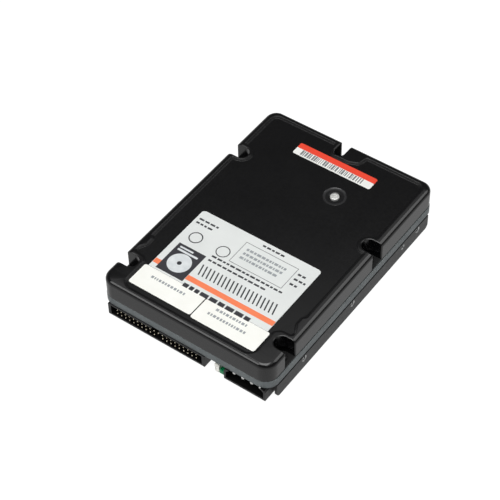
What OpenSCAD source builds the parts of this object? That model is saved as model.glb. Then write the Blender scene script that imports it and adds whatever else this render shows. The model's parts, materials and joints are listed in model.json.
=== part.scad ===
// Hard disk drive in the 3.5 inch, one inch high form, with its disc pack,
// actuator, circuit board and connectors. Millimetres.
// The origin is the middle of the underside. +Y points away from the
// connectors, +Z points up through the cover.

/* [Disc pack] */
// Diameter of a platter
platter_d = 95; // [93:0.5:105]
// Thickness of a platter
platter_t = 0.8; // [0.6:0.05:1.2]
// Free height between the two platters
platter_gap = 3.2; // [3:0.05:4]
// Radius of the hub where the platters sit
hub_r = 12.5; // [11.5:0.1:14]
// How far the ledge under the lower platter reaches past the hub
ledge_w = 3.5; // [2.5:0.1:4.5]
// Thickness of that ledge
ledge_t = 2; // [1.5:0.1:2.2]
// Thickness of the disc clamp over the hub
clamp_t = 0.9; // [0.7:0.05:1.1]
// Radius of the screw circle in the disc clamp
clamp_screw_circle_r = 9.9; // [9.5:0.1:10.5]
// Number of clamp screws
clamp_screws_n = 6; // [4:1:8]

/* [Spindle motor] */
// Radius of the spindle shaft
shaft_r = 2.5; // [2:0.1:3]
// Radial thickness of a bearing race
race_t = 0.9; // [0.7:0.05:1.1]
// Radius of a spindle bearing ball
ball_r = 0.55; // [0.45:0.05:0.65]
// Height of a spindle bearing
bearing_h = 3; // [2.4:0.1:3.4]
// Balls in a spindle bearing
balls_n = 9; // [7:1:11]
// Wall of the bearing tube
tube_wall = 1.5; // [1.2:0.1:1.8]
// Radial thickness of the rotor magnet
magnet_ring_t = 1.1; // [0.9:0.05:1.3]
// Height of the rotor magnet
magnet_ring_h = 3.8; // [3.2:0.1:4]
// Wall of the hub skirt round the magnet
skirt_wall = 1.1; // [0.9:0.05:1.4]
// Poles of the stator
stator_poles = 9; // [6:3:12]
// Thickness of the stator core
core_t = 2.4; // [1.8:0.1:2.8]
// Thickness of the motor flange
motor_flange_t = 1.6; // [1.2:0.1:2]
// How far the motor ring of the casting hangs below the deck
motor_drop = 3.4; // [3:0.1:4]
// Radial width of that ring
motor_ring_w = 3.6; // [3.2:0.1:4.4]

/* [Actuator] */
// Sideways place of the pivot
pivot_x = 12.6; // [11:0.1:14]
// Distance of the pivot behind the rear edge of the discs
pivot_reach = 10.2; // [9.8:0.1:13]
// How much shorter the head arm is than the pivot's distance to the spindle
arm_short = 7; // [6:0.1:8]
// Distance of the parked heads outside the hub ledge
park_gap = 4; // [3.4:0.1:5]
// Distance of the heads inside the disc edge at the outer stop
edge_gap = 1.8; // [1.4:0.1:2.5]
// Outer radius of the arm block
block_r = 8.5; // [7.8:0.1:9]
// Thickness of an outer arm
arm_t = 1; // [0.8:0.05:1.2]
// Width of an arm at the pivot
arm_root_w = 13; // [11:0.1:14]
// Width of an arm at its tip
arm_tip_w = 6.4; // [5.6:0.1:7]
// Thickness of a suspension
susp_t = 0.2; // [0.15:0.01:0.25]
// Free length of a suspension
susp_l = 19; // [16:0.5:21]
// Height of a head slider
slider_h = 0.6; // [0.45:0.05:0.7]
// Length of a head slider
slider_l = 2.4; // [2:0.1:2.8]
// Radius of the pivot shaft
pivot_r = 2.5; // [2.2:0.1:2.8]
// Radius of a pivot bearing ball
pivot_ball_r = 0.45; // [0.35:0.05:0.5]
// Wall of the pivot sleeve
sleeve_t = 1; // [0.8:0.05:1.2]
// Inner radius of the voice coil's place
coil_in_r = 16.6; // [16:0.1:18]
// Outer radius of the voice coil's place
coil_out_r = 29.4; // [27:0.1:31]
// Thickness of the voice coil
coil_t = 2; // [1.6:0.1:2.4]
// Width of the plastic frame round the coil
coil_rim = 1.2; // [0.9:0.1:1.5]
// Thickness of a yoke plate
yoke_t = 1.7; // [1.4:0.1:1.8]
// Thickness of a voice coil magnet
vcm_t = 1.4; // [1.1:0.1:1.5]
// Radius of a yoke post
post_r = 1.8; // [1.4:0.1:2]
// Wall of the rubber sleeve on a post
stop_wall = 0.8; // [0.6:0.1:1]

/* [Case] */
// Height of the bay under the circuit board
bay_h = 9.2; // [8.6:0.1:10]
// Thickness of the casting's deck
deck_t = 2; // [1.7:0.1:2.4]
// Depth of the flange that the gasket lies on, below the deck's top
flange_drop = 1; // [0.8:0.1:1.2]
// Wall of the casting's skirt
skirt_t = 1.5; // [1.2:0.1:2]
// How far the skirt hangs below the board's underside
skirt_drop = 0.2; // [0.1:0.05:0.8]
// Wall of the cover
cover_wall = 1.5; // [1.2:0.1:2]
// Thickness of the cover's roof under the panel
roof_t = 1.4; // [1.2:0.1:1.8]
// Depth of the sunk panel
panel_depth = 0.7; // [0.5:0.05:1]
// Corner radius of the cover
corner_r = 7; // [6:0.1:8]
// Radius of the cover's top edge
edge_r = 2.4; // [1.6:0.1:2.8]
// Thickness of the cover's floor in a notch
notch_floor_t = 1.6; // [1.3:0.1:2]
// Half width of a side notch
notch_r = 4; // [3.6:0.1:4.4]
// Half width of the notch in the back
back_notch_r = 3; // [2.8:0.1:3.6]
// Depth of the notches in the left side
notch_left = 9.9; // [9:0.1:10.5]
// Depth of the notches in the right side
notch_right = 8.8; // [8.5:0.1:10]
// Depth of the notch in the back
notch_back = 10.4; // [9:0.1:11]
// Place of the front notches behind the front face
notch_front_y = 17.7; // [16:0.1:19]
// Place of the left rear notch ahead of the back face
notch_left_y = 36.6; // [33:0.1:40]
// Place of the right rear notch ahead of the back face
notch_right_y = 53.7; // [50:0.1:56]
// Sideways place of the back notch
back_notch_x = -3; // [-5:0.1:-2]
// Width of the lip round a notch
lip_w = 1.5; // [1.2:0.1:2]
// Width of the rim beside the sunk panel
rim_side = 4; // [3.4:0.1:4.4]
// Width of the rim ahead of the sunk panel
rim_front = 3; // [2.8:0.1:4.5]
// Width of the rim behind the sunk panel
rim_rear = 4.8; // [3.5:0.1:5]
// Thickness of the gasket
gasket_t = 0.4; // [0.3:0.05:0.6]
// How far the casting and its tape stand out past the cover at each side
side_stand = 0.5; // [0.2:0.05:0.55]
// Depth of the groove for the seal tape
tape_groove = 0.3; // [0.25:0.05:0.6]
// Thickness of the seal tape
tape_t = 0.2; // [0.1:0.05:0.25]
// How far the tape laps over the cover
tape_lap = 0.7; // [0.5:0.05:1]

/* [Rails] */
// Thickness of a side rail
rail_t = 1.5; // [1.2:0.1:2]
// How far a rail stands proud of the cover
rail_proud = 0.6; // [0.4:0.05:1]
// Place of a rail's front end
rail_front = 6; // [5:0.1:8]
// Place of a rail's rear end
rail_rear = 5.7; // [4.5:0.1:6]
// How far the rails' top edge lies below the board's underside
rail_drop = 0.8; // [0.6:0.05:1.2]
// Radius of a rail's lower corners
rail_corner_r = 2.5; // [2:0.1:3]
// Radius of a threaded mounting hole
mount_hole_r = 1.385; // [1.2:0.005:1.6]
// Depth of a threaded mounting hole
mount_hole_l = 5; // [4:0.1:6]
// Height of the side mounting holes
side_hole_z = 6.35; // [5.5:0.05:6.6]
// Side holes, first, behind the front face
side_hole_1 = 28.5; // [27:0.1:30]
// Side holes, second, behind the front face
side_hole_2 = 70.1; // [68:0.1:72]
// Side holes, third, ahead of the back face
side_hole_3 = 15.9; // [14:0.1:18]
// Small tooling hole in the rails ahead of the back face
tool_hole = 29.9; // [28:0.1:31]
// Bottom holes, inset from the side
bottom_hole_in = 3.175; // [3:0.005:3.5]
// Bottom holes, first, behind the front face
bottom_hole_1 = 41.28; // [40:0.01:43]
// Bottom holes, distance between them
bottom_hole_gap = 44.45; // [42:0.01:46]

/* [Circuit board] */
// Thickness of the board
board_t = 1.6; // [1.2:0.1:1.8]
// Gap between the board and the deck
board_gap = 0.6; // [0.4:0.05:0.9]
// Place of the board's rear edge ahead of the back face
board_rear = 13; // [10:0.5:16]
// Height of the controller chip
controller_h = 3.4; // [2.6:0.1:3.8]
// Side of the controller chip
controller_w = 28; // [24:0.5:28.5]
// Controller chip's middle, left of the spindle
controller_out = 22; // [21:0.1:23]
// Controller chip's middle, behind the spindle
controller_aft = 43; // [42:0.1:43.5]
// Side of the processor chip
processor_w = 24; // [20:0.5:25]
// Processor chip's middle, right of the spindle
processor_out = 14; // [12:0.1:18]
// Processor chip's middle, behind the spindle
processor_aft = 45; // [44:0.1:50]
// Height of the processor and motor driver chips
processor_h = 3.8; // [3:0.1:4]
// Width of the buffer memory chip
memory_w = 8.6; // [7:0.1:9]
// Length of the buffer memory chip
memory_l = 17; // [14:0.5:18]
// Height of the buffer memory chip
memory_h = 3.2; // [2.6:0.1:3.6]
// Middle of the memory chip and of the crystal, left of the spindle
memory_out = 31; // [30:0.1:33]
// Buffer memory chip's middle, ahead of the spindle
memory_fore = 6; // [4:0.1:8]
// Side of the motor driver chip
driver_w = 16.6; // [14:0.1:17]
// Motor driver chip's middle, right of the spindle
driver_out = 32; // [31:0.1:33]
// Motor driver chip's middle, behind the spindle
driver_aft = 4; // [3:0.1:6]
// Length of the crystal's can
crystal_l = 11; // [9:0.1:12]
// Width of the crystal's can
crystal_w = 4.6; // [4:0.1:5]
// Height of the crystal's can
crystal_h = 3.6; // [3:0.1:4]
// Crystal's middle, behind the spindle
crystal_aft = 14; // [12.5:0.1:18]
// Length of a large capacitor
large_cap_l = 7.2; // [6:0.1:7.5]
// Width of a large capacitor
large_cap_w = 4.2; // [3.4:0.1:4.6]
// Height of a large capacitor
large_cap_h = 2.8; // [2:0.1:3]
// Large capacitors' first row, ahead of the spindle
large_cap_fore = 13; // [12:0.1:14]
// Length of a small capacitor
small_cap_l = 3.2; // [2:0.1:3.4]
// Width of a small capacitor
small_cap_w = 1.6; // [1.2:0.1:2]
// Height of a small capacitor
small_cap_h = 1.2; // [0.8:0.1:1.4]
// Small capacitors' row, behind the spindle
small_cap_aft = 27; // [26.5:0.1:27]
// Board screws beside the middle
board_screw_out = 36; // [35.5:0.1:37]
// Front board screws ahead of the spindle
board_screw_fore = 32; // [31:0.1:33]
// Rear board screws behind the spindle
board_screw_aft = 26; // [25.5:0.1:26.5]

/* [Connectors] */
// Pitch of the 40-pin connector and of the jumpers
pitch = 2.54; // [2.5:0.01:2.6]
// Columns of the 40-pin connector
ide_columns = 20; // [18:1:20]
// Length of the 40-pin shell past its outer pins, both ends together
ide_ends = 10.64; // [10:0.02:11]
// Columns of the jumper header
jumper_columns = 2; // [2:1:3]
// Width of a square pin
pin_w = 0.64; // [0.5:0.01:0.7]
// Gap between the 40-pin shell and the casting's left wall
ide_side_gap = 2.2; // [1.5:0.05:2.4]
// Wall of the 40-pin shell
shell_wall = 1; // [0.8:0.05:1.2]
// Depth of the connector shells
shell_l = 8.4; // [7.8:0.1:9]
// Pitch of the power pins
power_pitch = 5.08; // [5:0.01:5.1]
// Radius of a power pin
power_pin_r = 1.05; // [0.9:0.05:1.15]
// Gap between the power connector and the casting's right wall
power_side_gap = 0.3; // [0.1:0.05:0.5]
// Width of the power connector
power_w = 24; // [23:0.1:24.4]
// Gap between the 40-pin shell and the jumper header
jumper_gap = 5.05; // [2.5:0.05:5.1]

/* [Clearances] */
// Disc edge to the cover's side wall
disc_side_gap = 1.2; // [1:0.1:2]
// Disc edge to the cover's front wall
disc_front_gap = 3.5; // [2.5:0.1:5]
// Deck to the lower disc
disc_floor_gap = 2.8; // [2.7:0.05:3.4]
// Upper disc to the cover's roof
disc_roof_gap = 2.3; // [2.2:0.05:2.8]
// Yoke plates to the cover's back wall
rear_gap = 1.3; // [1:0.1:3]
// Head slider to the disc it flies on
fly_gap = 0.05; // [0.03:0.01:0.08]
// Play between pieces that fit in each other and pieces that run
fit_gap = 0.05; // [0.03:0.01:0.08]
// Free gap between moving pieces and what they pass
free_gap = 0.5; // [0.4:0.05:0.7]
// How far the connector shells stand proud of the cover
shell_proud = 0.5; // [0.3:0.1:1]

/* [Labels] */
// Thickness of the labels
label_t = 0.1; // [0.05:0.01:0.2]
// Length of the main label
main_label_l = 56.3; // [50:0.1:58]
// Width of the main label
main_label_w = 71.5; // [68:0.1:73]
// Width of a front sticker
sticker_w = 37.2; // [34:0.1:37.4]
// Length of a front sticker
sticker_l = 13.6; // [12:0.1:14]
// How much further forward the right front sticker lies
sticker_shift = 0.8; // [0:0.1:1]
// Half the gap between the two front stickers
sticker_gap = 0.3; // [0.1:0.1:1]
// Room between a front sticker and the sunk panel's edge
sticker_room = 0.9; // [0.5:0.1:2]
// Width of the barcode label
barcode_w = 47.2; // [44:0.1:50]
// Length of the barcode label
barcode_l = 8.4; // [7.5:0.1:8.6]

/* [Hidden] */
$fn = 64;
sink = 1; // how far a cutting tool runs past a face

// Plan of the case
platter_r = platter_d / 2;
ide_w = (ide_columns - 1) * pitch + ide_ends;
jumper_w = jumper_columns * pitch + 0.4;
connectors_w = ide_side_gap + ide_w + jumper_gap + jumper_w + 0.8 + power_w + power_side_gap;
cover_x = max(platter_r + disc_side_gap + cover_wall, connectors_w / 2 + skirt_t + tape_groove);
body_w = 2 * (cover_x + rail_proud);
coil_corner_r = 2;
yoke_in_r = block_r + 4.5;
yoke_out_r = coil_out_r + post_r + 1.3;
pivot_dy = platter_r + pivot_reach;
body_l = shell_proud + cover_wall + disc_front_gap + platter_r + pivot_dy + yoke_out_r
    + rear_gap + cover_wall;
front_y = -body_l / 2;
back_y = body_l / 2;
cover_front_y = front_y + shell_proud;
spindle_y = cover_front_y + cover_wall + disc_front_gap + platter_r;
pivot_y = spindle_y + pivot_dy;

// Levels, from the floor up
board_top = bay_h + board_t;
deck_z = board_top + board_gap;
deck_top = deck_z + deck_t;
flange_z = deck_top - flange_drop;
cover_z = flange_z + gasket_t;
groove_z = cover_z + tape_lap;
skirt_z = bay_h - skirt_drop;
notch_floor_z = cover_z + notch_floor_t;
disc_1 = deck_top + disc_floor_gap;
disc_2 = disc_1 + platter_t + platter_gap;
disc_top = disc_2 + platter_t;
roof_z = disc_top + disc_roof_gap;
panel_z = roof_z + roof_t;
body_h = panel_z + panel_depth;

// Spindle motor
bearing_r = shaft_r + 2 * race_t + 2 * (ball_r + fit_gap);
tube_r = bearing_r + tube_wall;
ball_circle_r = shaft_r + race_t + ball_r + fit_gap;
motor_top = deck_z - motor_drop;
motor_spigot = 1.4;
flange_floor = 0.4;
spigot_z = motor_top + motor_spigot;
ledge_z = disc_1 - ledge_t;
hub_top = disc_top + 0.6;
hub_bore_r = tube_r + free_gap;
hub_roof_t = 1.7;
tube_top = hub_top - hub_roof_t - free_gap;
skirt_r = hub_r + ledge_w - 1.2;
rotor_in_r = skirt_r - skirt_wall;
magnet_in_r = rotor_in_r - magnet_ring_t;
core_r = magnet_in_r - 0.3;
well_r = skirt_r + 0.6;
motor_ring_r = well_r + motor_ring_w;
rotor_z = spigot_z + free_gap;
core_z = (rotor_z + ledge_z) / 2 - core_t / 2;
motor_screw_circle_r = (well_r + motor_ring_r) / 2;
shaft_bottom = motor_top + flange_floor + 0.2;
tooth_w = 2;
tooth_tip = 1;
core_hub_r = tube_r + 1.4;
clamp_sink = clamp_t - 0.4;

// Actuator, with its parking angle worked out from the three sides
pivot_d = sqrt(pivot_x * pivot_x + pivot_dy * pivot_dy);
arm_l = pivot_d - arm_short;
function head_angle(r) = acos((pivot_d * pivot_d + arm_l * arm_l - r * r) / (2 * pivot_d * arm_l));
park_r = hub_r + ledge_w + park_gap;
park_angle = head_angle(park_r);
swing = head_angle(platter_r - edge_gap) - park_angle;
park_dir = atan2(-pivot_dy, -pivot_x) - park_angle;
coil_mid_dir = park_dir + 180 - swing / 2;
arm_z = [disc_1 - fly_gap - slider_h - susp_t - arm_t,
    disc_1 + platter_t + fly_gap + slider_h + susp_t,
    disc_top + fly_gap + slider_h + susp_t];
mid_arm_t = platter_gap - 2 * (fly_gap + slider_h + susp_t);
block_top = arm_z[2] + arm_t;
arm_tip = arm_l - susp_l;
sleeve_in_r = pivot_r + race_t + 2 * (pivot_ball_r + fit_gap);
sleeve_r = sleeve_in_r + sleeve_t;
pivot_ball_circle_r = pivot_r + race_t + pivot_ball_r + fit_gap;
pivot_balls_n = 9;
pivot_seat_t = 0.8;
pivot_ring_h = 2.2;

// Levels of the four suspensions, and of the sliders on them
susp_z = [arm_z[0] + arm_t, arm_z[1] - susp_t, arm_z[1] + mid_arm_t, arm_z[2] - susp_t];
slider_z = [susp_z[0] + susp_t, susp_z[1] - slider_h, susp_z[2] + susp_t, susp_z[3] - slider_h];

// Flexible cable: from a tab on the arm block, half a turn round, to its bracket
flex_reach = [-block_r - 0.1, 6.3];
flex_tab = [pivot_x + flex_reach[0], pivot_y + flex_reach[1]];
flex_a = atan2(flex_reach[1], flex_reach[0]);
flex_r = norm(flex_reach);
flex_loop_r = 10.05;
flex_t = 0.15;
flex_z = [arm_z[0] + 1.6, block_top - 1.6];
breather_at = [-cover_x + 12, back_y - 13];

// Voice coil motor
yoke_roof_gap = 0.3;
upper_yoke_z = roof_z - yoke_roof_gap - yoke_t;
coil_mid_z = (deck_top + upper_yoke_z + yoke_t) / 2;
coil_z0 = coil_mid_z - coil_t / 2;
coil_z1 = coil_mid_z + coil_t / 2;
coil_half_a = 14;
frame_half_a = coil_half_a + 2;
stop_r = post_r + stop_wall;
post_circle_r = coil_out_r;
stop_gap = 0.3;
stop_touch = coil_corner_r + coil_rim + stop_r + stop_gap;
stop_a = acos((pow(coil_out_r, 2) + pow(post_circle_r, 2) - pow(stop_touch, 2))
    / (2 * coil_out_r * post_circle_r));
post_a = swing / 2 + frame_half_a + stop_a;
yoke_a = post_a + 5;

// Screws
cover_screw_r = 1.2;
cover_screw_head_r = 2.5;
cover_screw_head_h = 1.5;
small_screw_r = 0.9;
small_head_r = 1.8;
pivot_head_r = 2.4;
pivot_head_h = 1.1;
pivot_sink_r = 3.05;
pivot_dish_r = 6.1;
pivot_dish_depth = 0.25;
pivot_seat = 0.6;
board_screw_r = 1;
board_head_r = 2.1;
board_head_h = 1.2;

// Notches: centre of the round end, way out, half width
NOTCHES = [
    [-cover_x + notch_left - notch_r, cover_front_y + notch_front_y - shell_proud, 180, notch_r],
    [cover_x - notch_right + notch_r, cover_front_y + notch_front_y - shell_proud, 0, notch_r],
    [-cover_x + notch_left - notch_r, back_y - notch_left_y, 180, notch_r],
    [cover_x - notch_right + notch_r, back_y - notch_right_y, 0, notch_r],
    [back_notch_x, back_y - notch_back + back_notch_r, 90, back_notch_r]];

// Rails
rail_y = [front_y + rail_front, back_y - rail_rear];
rail_top = bay_h - rail_drop;
rail_web_t = 1.4;
side_holes_y = [front_y + side_hole_1, front_y + side_hole_2, back_y - side_hole_3];
bottom_holes_y = [front_y + bottom_hole_1, front_y + bottom_hole_1 + bottom_hole_gap];
bottom_hole_x = body_w / 2 - bottom_hole_in;
boss_half = 4.2;
boss_depth = 7;
bottom_boss_r = 3.6;

// Board: screws stand clear of the motor and of the connectors
wall_in_x = cover_x - tape_groove - skirt_t;
board_front_y = cover_front_y + tape_groove + skirt_t + 0.3;
board_x = wall_in_x - 0.5;
board_boss_r = 2.8;
board_screws_at = [for (x = [-board_screw_out, board_screw_out + 1],
    y = [spindle_y - board_screw_fore, spindle_y + board_screw_aft]) [x, y],
    [4, back_y - board_rear - board_boss_r - 2.2]];
flex_at = [flex_tab[0] - 2 * flex_loop_r - 1.4, flex_tab[1]];
flex_slot = [3.4, 12];
chip_lift = 0.3;

// 40-pin connector: pins in two rows, the lower row's eleventh column is the key
ide_rows = [6.6, 4.06];
ide_x = -wall_in_x + ide_side_gap + ide_w / 2;
shell_end = 1.7;
shell_top = bay_h - 0.1;
shell_bottom = 1.5;
mouth_top = shell_top - 0.9;
pin_tip_y = front_y + 0.4;
pin_leg_y = [front_y + 10.6, front_y + 13.14];
key_column = ide_columns / 2;
pin_through = 0.3;
function ide_pin_x(i) = ide_x + (i - (ide_columns - 1) / 2) * pitch;
function is_key(row, column) = row == 1 && column == key_column;
function power_pin_x(i) = power_x + (i - 1.5) * power_pitch;
function jumper_pin_x(i) = jumper_x + (i - (jumper_columns - 1) / 2) * pitch;

// Power and jumper connectors
power_x = wall_in_x - power_side_gap - power_w / 2;
power_pin_z = 6;
power_chamfer = 1.6;
power_tip_y = front_y + 1.9;
power_leg_y = front_y + 11;
jumper_rows = [5.31, 2.77];
jumper_x = ide_x + ide_w / 2 + jumper_gap + jumper_w / 2;
jumper_face_y = front_y + 1.3;
jumper_front_y = front_y + 7.8;
jumper_l = 1.8;
shunt_l = 3.7;
shunt_w = 2.5;
shunt_h = 5.08;
shunt_tab_h = 2.4;
shunt_column = jumper_columns - 1;
shunt_end = 0.5;
shunt_off = 0.3;
jumper_tip_y = jumper_front_y - shunt_off - shunt_l + shunt_end + 0.2;

// Labels
main_label_front = front_y + 9;
sticker_front = front_y + 6.75;
barcode_at = [0.6, back_y - 21.4];

// ---- shapes used by several pieces ----

module rounded(x0, y0, x1, y1, r) {
    translate([x0 + r, y0]) square([x1 - x0 - 2 * r, y1 - y0]);
    translate([x0, y0 + r]) square([x1 - x0, y1 - y0 - 2 * r]);
    for (x = [x0 + r, x1 - r], y = [y0 + r, y1 - r]) translate([x, y]) circle(r);
}

// Outline of the cover, drawn in by e
module plan(e) {
    rounded(-cover_x + e, cover_front_y + e, cover_x - e, back_y - e, corner_r - e);
}

// The same line round the casting and the seal tape, wider at the sides
module belt(e) {
    half = cover_x + side_stand - e;
    rounded(-half, cover_front_y + e, half, back_y - e, corner_r - e);
}

// A notch, wider by e all round, open at its way out
module notch(n, e) {
    translate([n[0], n[1]]) rotate(n[2]) {
        circle(n[3] + e);
        translate([0, -n[3] - e]) square([20, 2 * (n[3] + e)]);
    }
}

// The room inside the cover, drawn in by e
module cavity(e) {
    difference() {
        plan(cover_wall + e);
        for (n = NOTCHES) notch(n, cover_wall + e);
    }
}

module slab(z0, z1) {
    translate([0, 0, z0]) linear_extrude(z1 - z0) children();
}

module tube(r0, r1, z0, z1) {
    translate([0, 0, z0]) difference() {
        cylinder(h = z1 - z0, r = r1);
        translate([0, 0, -sink]) cylinder(h = z1 - z0 + 2 * sink, r = r0);
    }
}

module rod(r, z0, z1) {
    translate([0, 0, z0]) cylinder(h = z1 - z0, r = r);
}

module block(x0, y0, z0, x1, y1, z1) {
    translate([x0, y0, z0]) cube([x1 - x0, y1 - y0, z1 - z0]);
}

module at_spindle() {
    translate([0, spindle_y, 0]) children();
}

module at_pivot() {
    translate([pivot_x, pivot_y, 0]) children();
}

// The actuator's own frame: +X along the arms as parked
module on_arm() {
    at_pivot() rotate(park_dir) children();
}

module ring_of(n, r) {
    for (i = [0 : n - 1]) rotate(i * 360 / n) translate([r, 0, 0]) children();
}

module at_cover_screws() {
    for (n = NOTCHES) translate([n[0], n[1], 0]) children();
}

module at_board_screws() {
    for (p = board_screws_at) translate([p[0], p[1], 0]) children();
}

// A flat sector of a ring, from angle a0 to a1
module sector(r0, r1, a0, a1) {
    far = 2 * r1;
    difference() {
        intersection() {
            circle(r1);
            polygon([[0, 0], [far * cos(a0), far * sin(a0)],
                [far * cos((a0 + a1) / 2), far * sin((a0 + a1) / 2)],
                [far * cos(a1), far * sin(a1)]]);
        }
        circle(r0);
    }
}

// ---- case ----

module rail_profile() {
    l = rail_y[1] - rail_y[0];
    translate([rail_y[0], rail_corner_r]) square([l, rail_top - rail_corner_r]);
    translate([rail_y[0] + rail_corner_r, 0]) square([l - 2 * rail_corner_r, rail_top]);
    for (y = [rail_y[0] + rail_corner_r, rail_y[1] - rail_corner_r])
        translate([y, rail_corner_r]) circle(rail_corner_r);
}

// One side's rail with its screw bosses, drawn on the +X side
module rail() {
    edge = body_w / 2;
    translate([edge - rail_t, 0, 0]) rotate([90, 0, 90]) linear_extrude(rail_t) rail_profile();
    block(wall_in_x, rail_y[0] + 1, rail_top - rail_web_t, edge - 0.5, rail_y[1] - 4, rail_top);
    block(wall_in_x, cover_front_y + corner_r, rail_top - rail_web_t, cover_x - tape_groove,
        back_y - corner_r - 1, deck_z + 0.5);
    for (y = side_holes_y)
        block(edge - boss_depth, y - boss_half, 0, edge - 0.5, y + boss_half, rail_top);
    for (y = side_holes_y)
        block(edge - boss_depth, y - boss_half, 0, cover_x - tape_groove, y + boss_half,
            deck_z + 0.5);
    for (y = bottom_holes_y) translate([bottom_hole_x, y, 0]) {
        rod(bottom_boss_r - 0.5, 0, rail_top);
        translate([-0.5, 0, 0]) block(-3, -3, 0, 1.2, 3, deck_z + 0.5);
    }
}

module mount_holes() {
    edge = body_w / 2;
    for (s = [-1, 1]) {
        for (y = side_holes_y)
            translate([s * (edge - mount_hole_l), y, side_hole_z]) rotate([0, s * 90, 0])
                cylinder(h = mount_hole_l + sink, r = mount_hole_r);
        translate([s * (edge - rail_t - sink), back_y - tool_hole, side_hole_z - 0.4])
            rotate([0, s * 90, 0]) cylinder(h = rail_t + 2 * sink, r = 1.2);
        for (y = bottom_holes_y)
            translate([s * bottom_hole_x, y, -sink])
                cylinder(h = mount_hole_l + sink, r = mount_hole_r);
    }
}

module base_casting() {
    color([0.24, 0.24, 0.24]) difference() {
        union() {
            slab(deck_z, flange_z) belt(tape_groove);
            slab(flange_z - 0.2, deck_top) cavity(free_gap);
            slab(skirt_z, deck_z + 0.2) difference() {
                belt(tape_groove);
                plan(tape_groove + skirt_t);
            }
            rail();
            mirror([1, 0, 0]) rail();
            block(-body_w / 2 + 0.5, rail_y[1] - 3.2, 3.6, body_w / 2 - 0.5, rail_y[1] - 1.7, rail_top);
            block(-wall_in_x, rail_y[1] - 3.2, 3.6, wall_in_x, rail_y[1] - 1.7, deck_z + 0.5);
            at_spindle() rod(motor_ring_r, motor_top, deck_z + 0.5);
            at_board_screws() rod(board_boss_r, board_top, deck_z + 0.5);
        }
        mount_holes();
        at_spindle() {
            rod(well_r, motor_top - sink, deck_top + sink);
            ring_of(3, motor_screw_circle_r) rod(small_screw_r + fit_gap, motor_top - sink,
                motor_top + 3);
        }
        at_board_screws() rod(board_screw_r + fit_gap, board_top - sink, deck_top - 0.6);
        at_cover_screws() rod(cover_screw_r + fit_gap, deck_z + 0.1, flange_z + sink);
        at_pivot() rod(pivot_r + fit_gap, deck_z - sink, deck_top + sink);
        translate([flex_at[0], flex_at[1], 0])
            block(-flex_slot[0] / 2, -flex_slot[1] / 2, deck_z - sink, flex_slot[0] / 2,
                flex_slot[1] / 2, deck_top + sink);
        translate([breather_at[0], breather_at[1], 0]) rod(1, deck_z - sink, deck_top + sink);
    }
}

module corner_post() {
    rod(corner_r, groove_z, body_h - edge_r);
    translate([0, 0, body_h - edge_r]) rotate_extrude($fn = 32)
        intersection() {
            translate([corner_r - edge_r, 0]) circle(edge_r, $fn = 32);
            square(corner_r + 1);
        }
    rod(corner_r - edge_r, groove_z, body_h);
}

// The sunk panel: wide behind, narrow between the front notches, with an ear
// behind each of those
module panel() {
    front_half = sticker_gap + sticker_w + sticker_room;
    side = cover_x - rim_side;
    difference() {
        union() {
            rounded(-front_half, cover_front_y + rim_front, front_half, spindle_y, 5);
            rounded(-side + 1.6, front_y + 23.4, side - 1.6, spindle_y, 3);
            rounded(-side - 1, front_y + 23.4, side + 1, front_y + 29.4, 2.4);
            rounded(-side, front_y + 36.5, side, back_y - rim_rear, 3);
        }
        for (n = NOTCHES) notch(n, lip_w);
        translate([back_notch_x + back_notch_r, back_y - notch_back]) square([11, notch_back]);
    }
}

module top_cover() {
    color([0.13, 0.13, 0.135]) difference() {
        union() {
            hull() for (x = [-1, 1] * (cover_x - corner_r),
                y = [cover_front_y + corner_r, back_y - corner_r])
                translate([x, y, 0]) corner_post($fn = 32);
            slab(cover_z, groove_z + 0.5) plan(tape_groove);
            slab(cover_z, groove_z - 0.1) belt(tape_groove);
        }
        slab(cover_z - sink, roof_z) cavity(0);
        slab(notch_floor_z, body_h + sink) for (n = NOTCHES) notch(n, 0);
        slab(panel_z, body_h + sink) panel();
        at_cover_screws() rod(cover_screw_r + fit_gap, cover_z - sink, notch_floor_z + sink);
        at_pivot() {
            rod(pivot_dish_r, panel_z - pivot_dish_depth, panel_z + sink);
            rod(pivot_sink_r, roof_z + pivot_seat, panel_z + sink);
            rod(cover_screw_r + fit_gap, roof_z - sink, panel_z + sink);
        }
    }
}

module cover_gasket() {
    color([0.2, 0.2, 0.22]) slab(flange_z, cover_z) difference() {
        belt(tape_groove + 0.1);
        cavity(0);
        for (n = NOTCHES) translate([n[0], n[1]]) circle(cover_screw_r + 0.3);
    }
}

module seal_tape() {
    color([0.44, 0.46, 0.47]) slab(skirt_z + 0.1, groove_z - 0.1) difference() {
        belt(tape_groove - tape_t);
        belt(tape_groove);
    }
}

module cover_screws() {
    color([0.2, 0.2, 0.2]) at_cover_screws() difference() {
        union() {
            rod(cover_screw_r, deck_z + 0.4, notch_floor_z + 0.1);
            rod(cover_screw_head_r, notch_floor_z, notch_floor_z + cover_screw_head_h);
        }
        rod(0.9, notch_floor_z + 0.5, notch_floor_z + cover_screw_head_h + sink, $fn = 6);
    }
}

module pivot_cover_screw() {
    seat = roof_z + pivot_seat;
    color([0.75, 0.76, 0.76]) at_pivot() difference() {
        union() {
            rod(cover_screw_r, roof_z - 4, seat + 0.1);
            rod(pivot_head_r, seat, seat + pivot_head_h);
        }
        rod(1, seat + 0.3, seat + pivot_head_h + sink, $fn = 6);
    }
}

module label(x, y, w, l, r) {
    slab(panel_z, panel_z + label_t) rounded(x, y, x + w, y + l, r);
}

module main_label() {
    color([0.87, 0.9, 0.9]) difference() {
        label(-main_label_w / 2, main_label_front, main_label_w, main_label_l, 2);
        slab(panel_z - sink, panel_z + sink) for (s = [0, 1])
            translate([-main_label_w * (1 - s), sticker_front - s * sticker_shift - sink])
                square([main_label_w, sticker_l + sink + 0.15]);
    }
}

module front_stickers() {
    color([0.96, 0.96, 0.94]) for (s = [0, 1])
        label(s == 0 ? -sticker_w - sticker_gap : sticker_gap, sticker_front - s * sticker_shift,
            sticker_w, sticker_l, 1.2);
}

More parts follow.
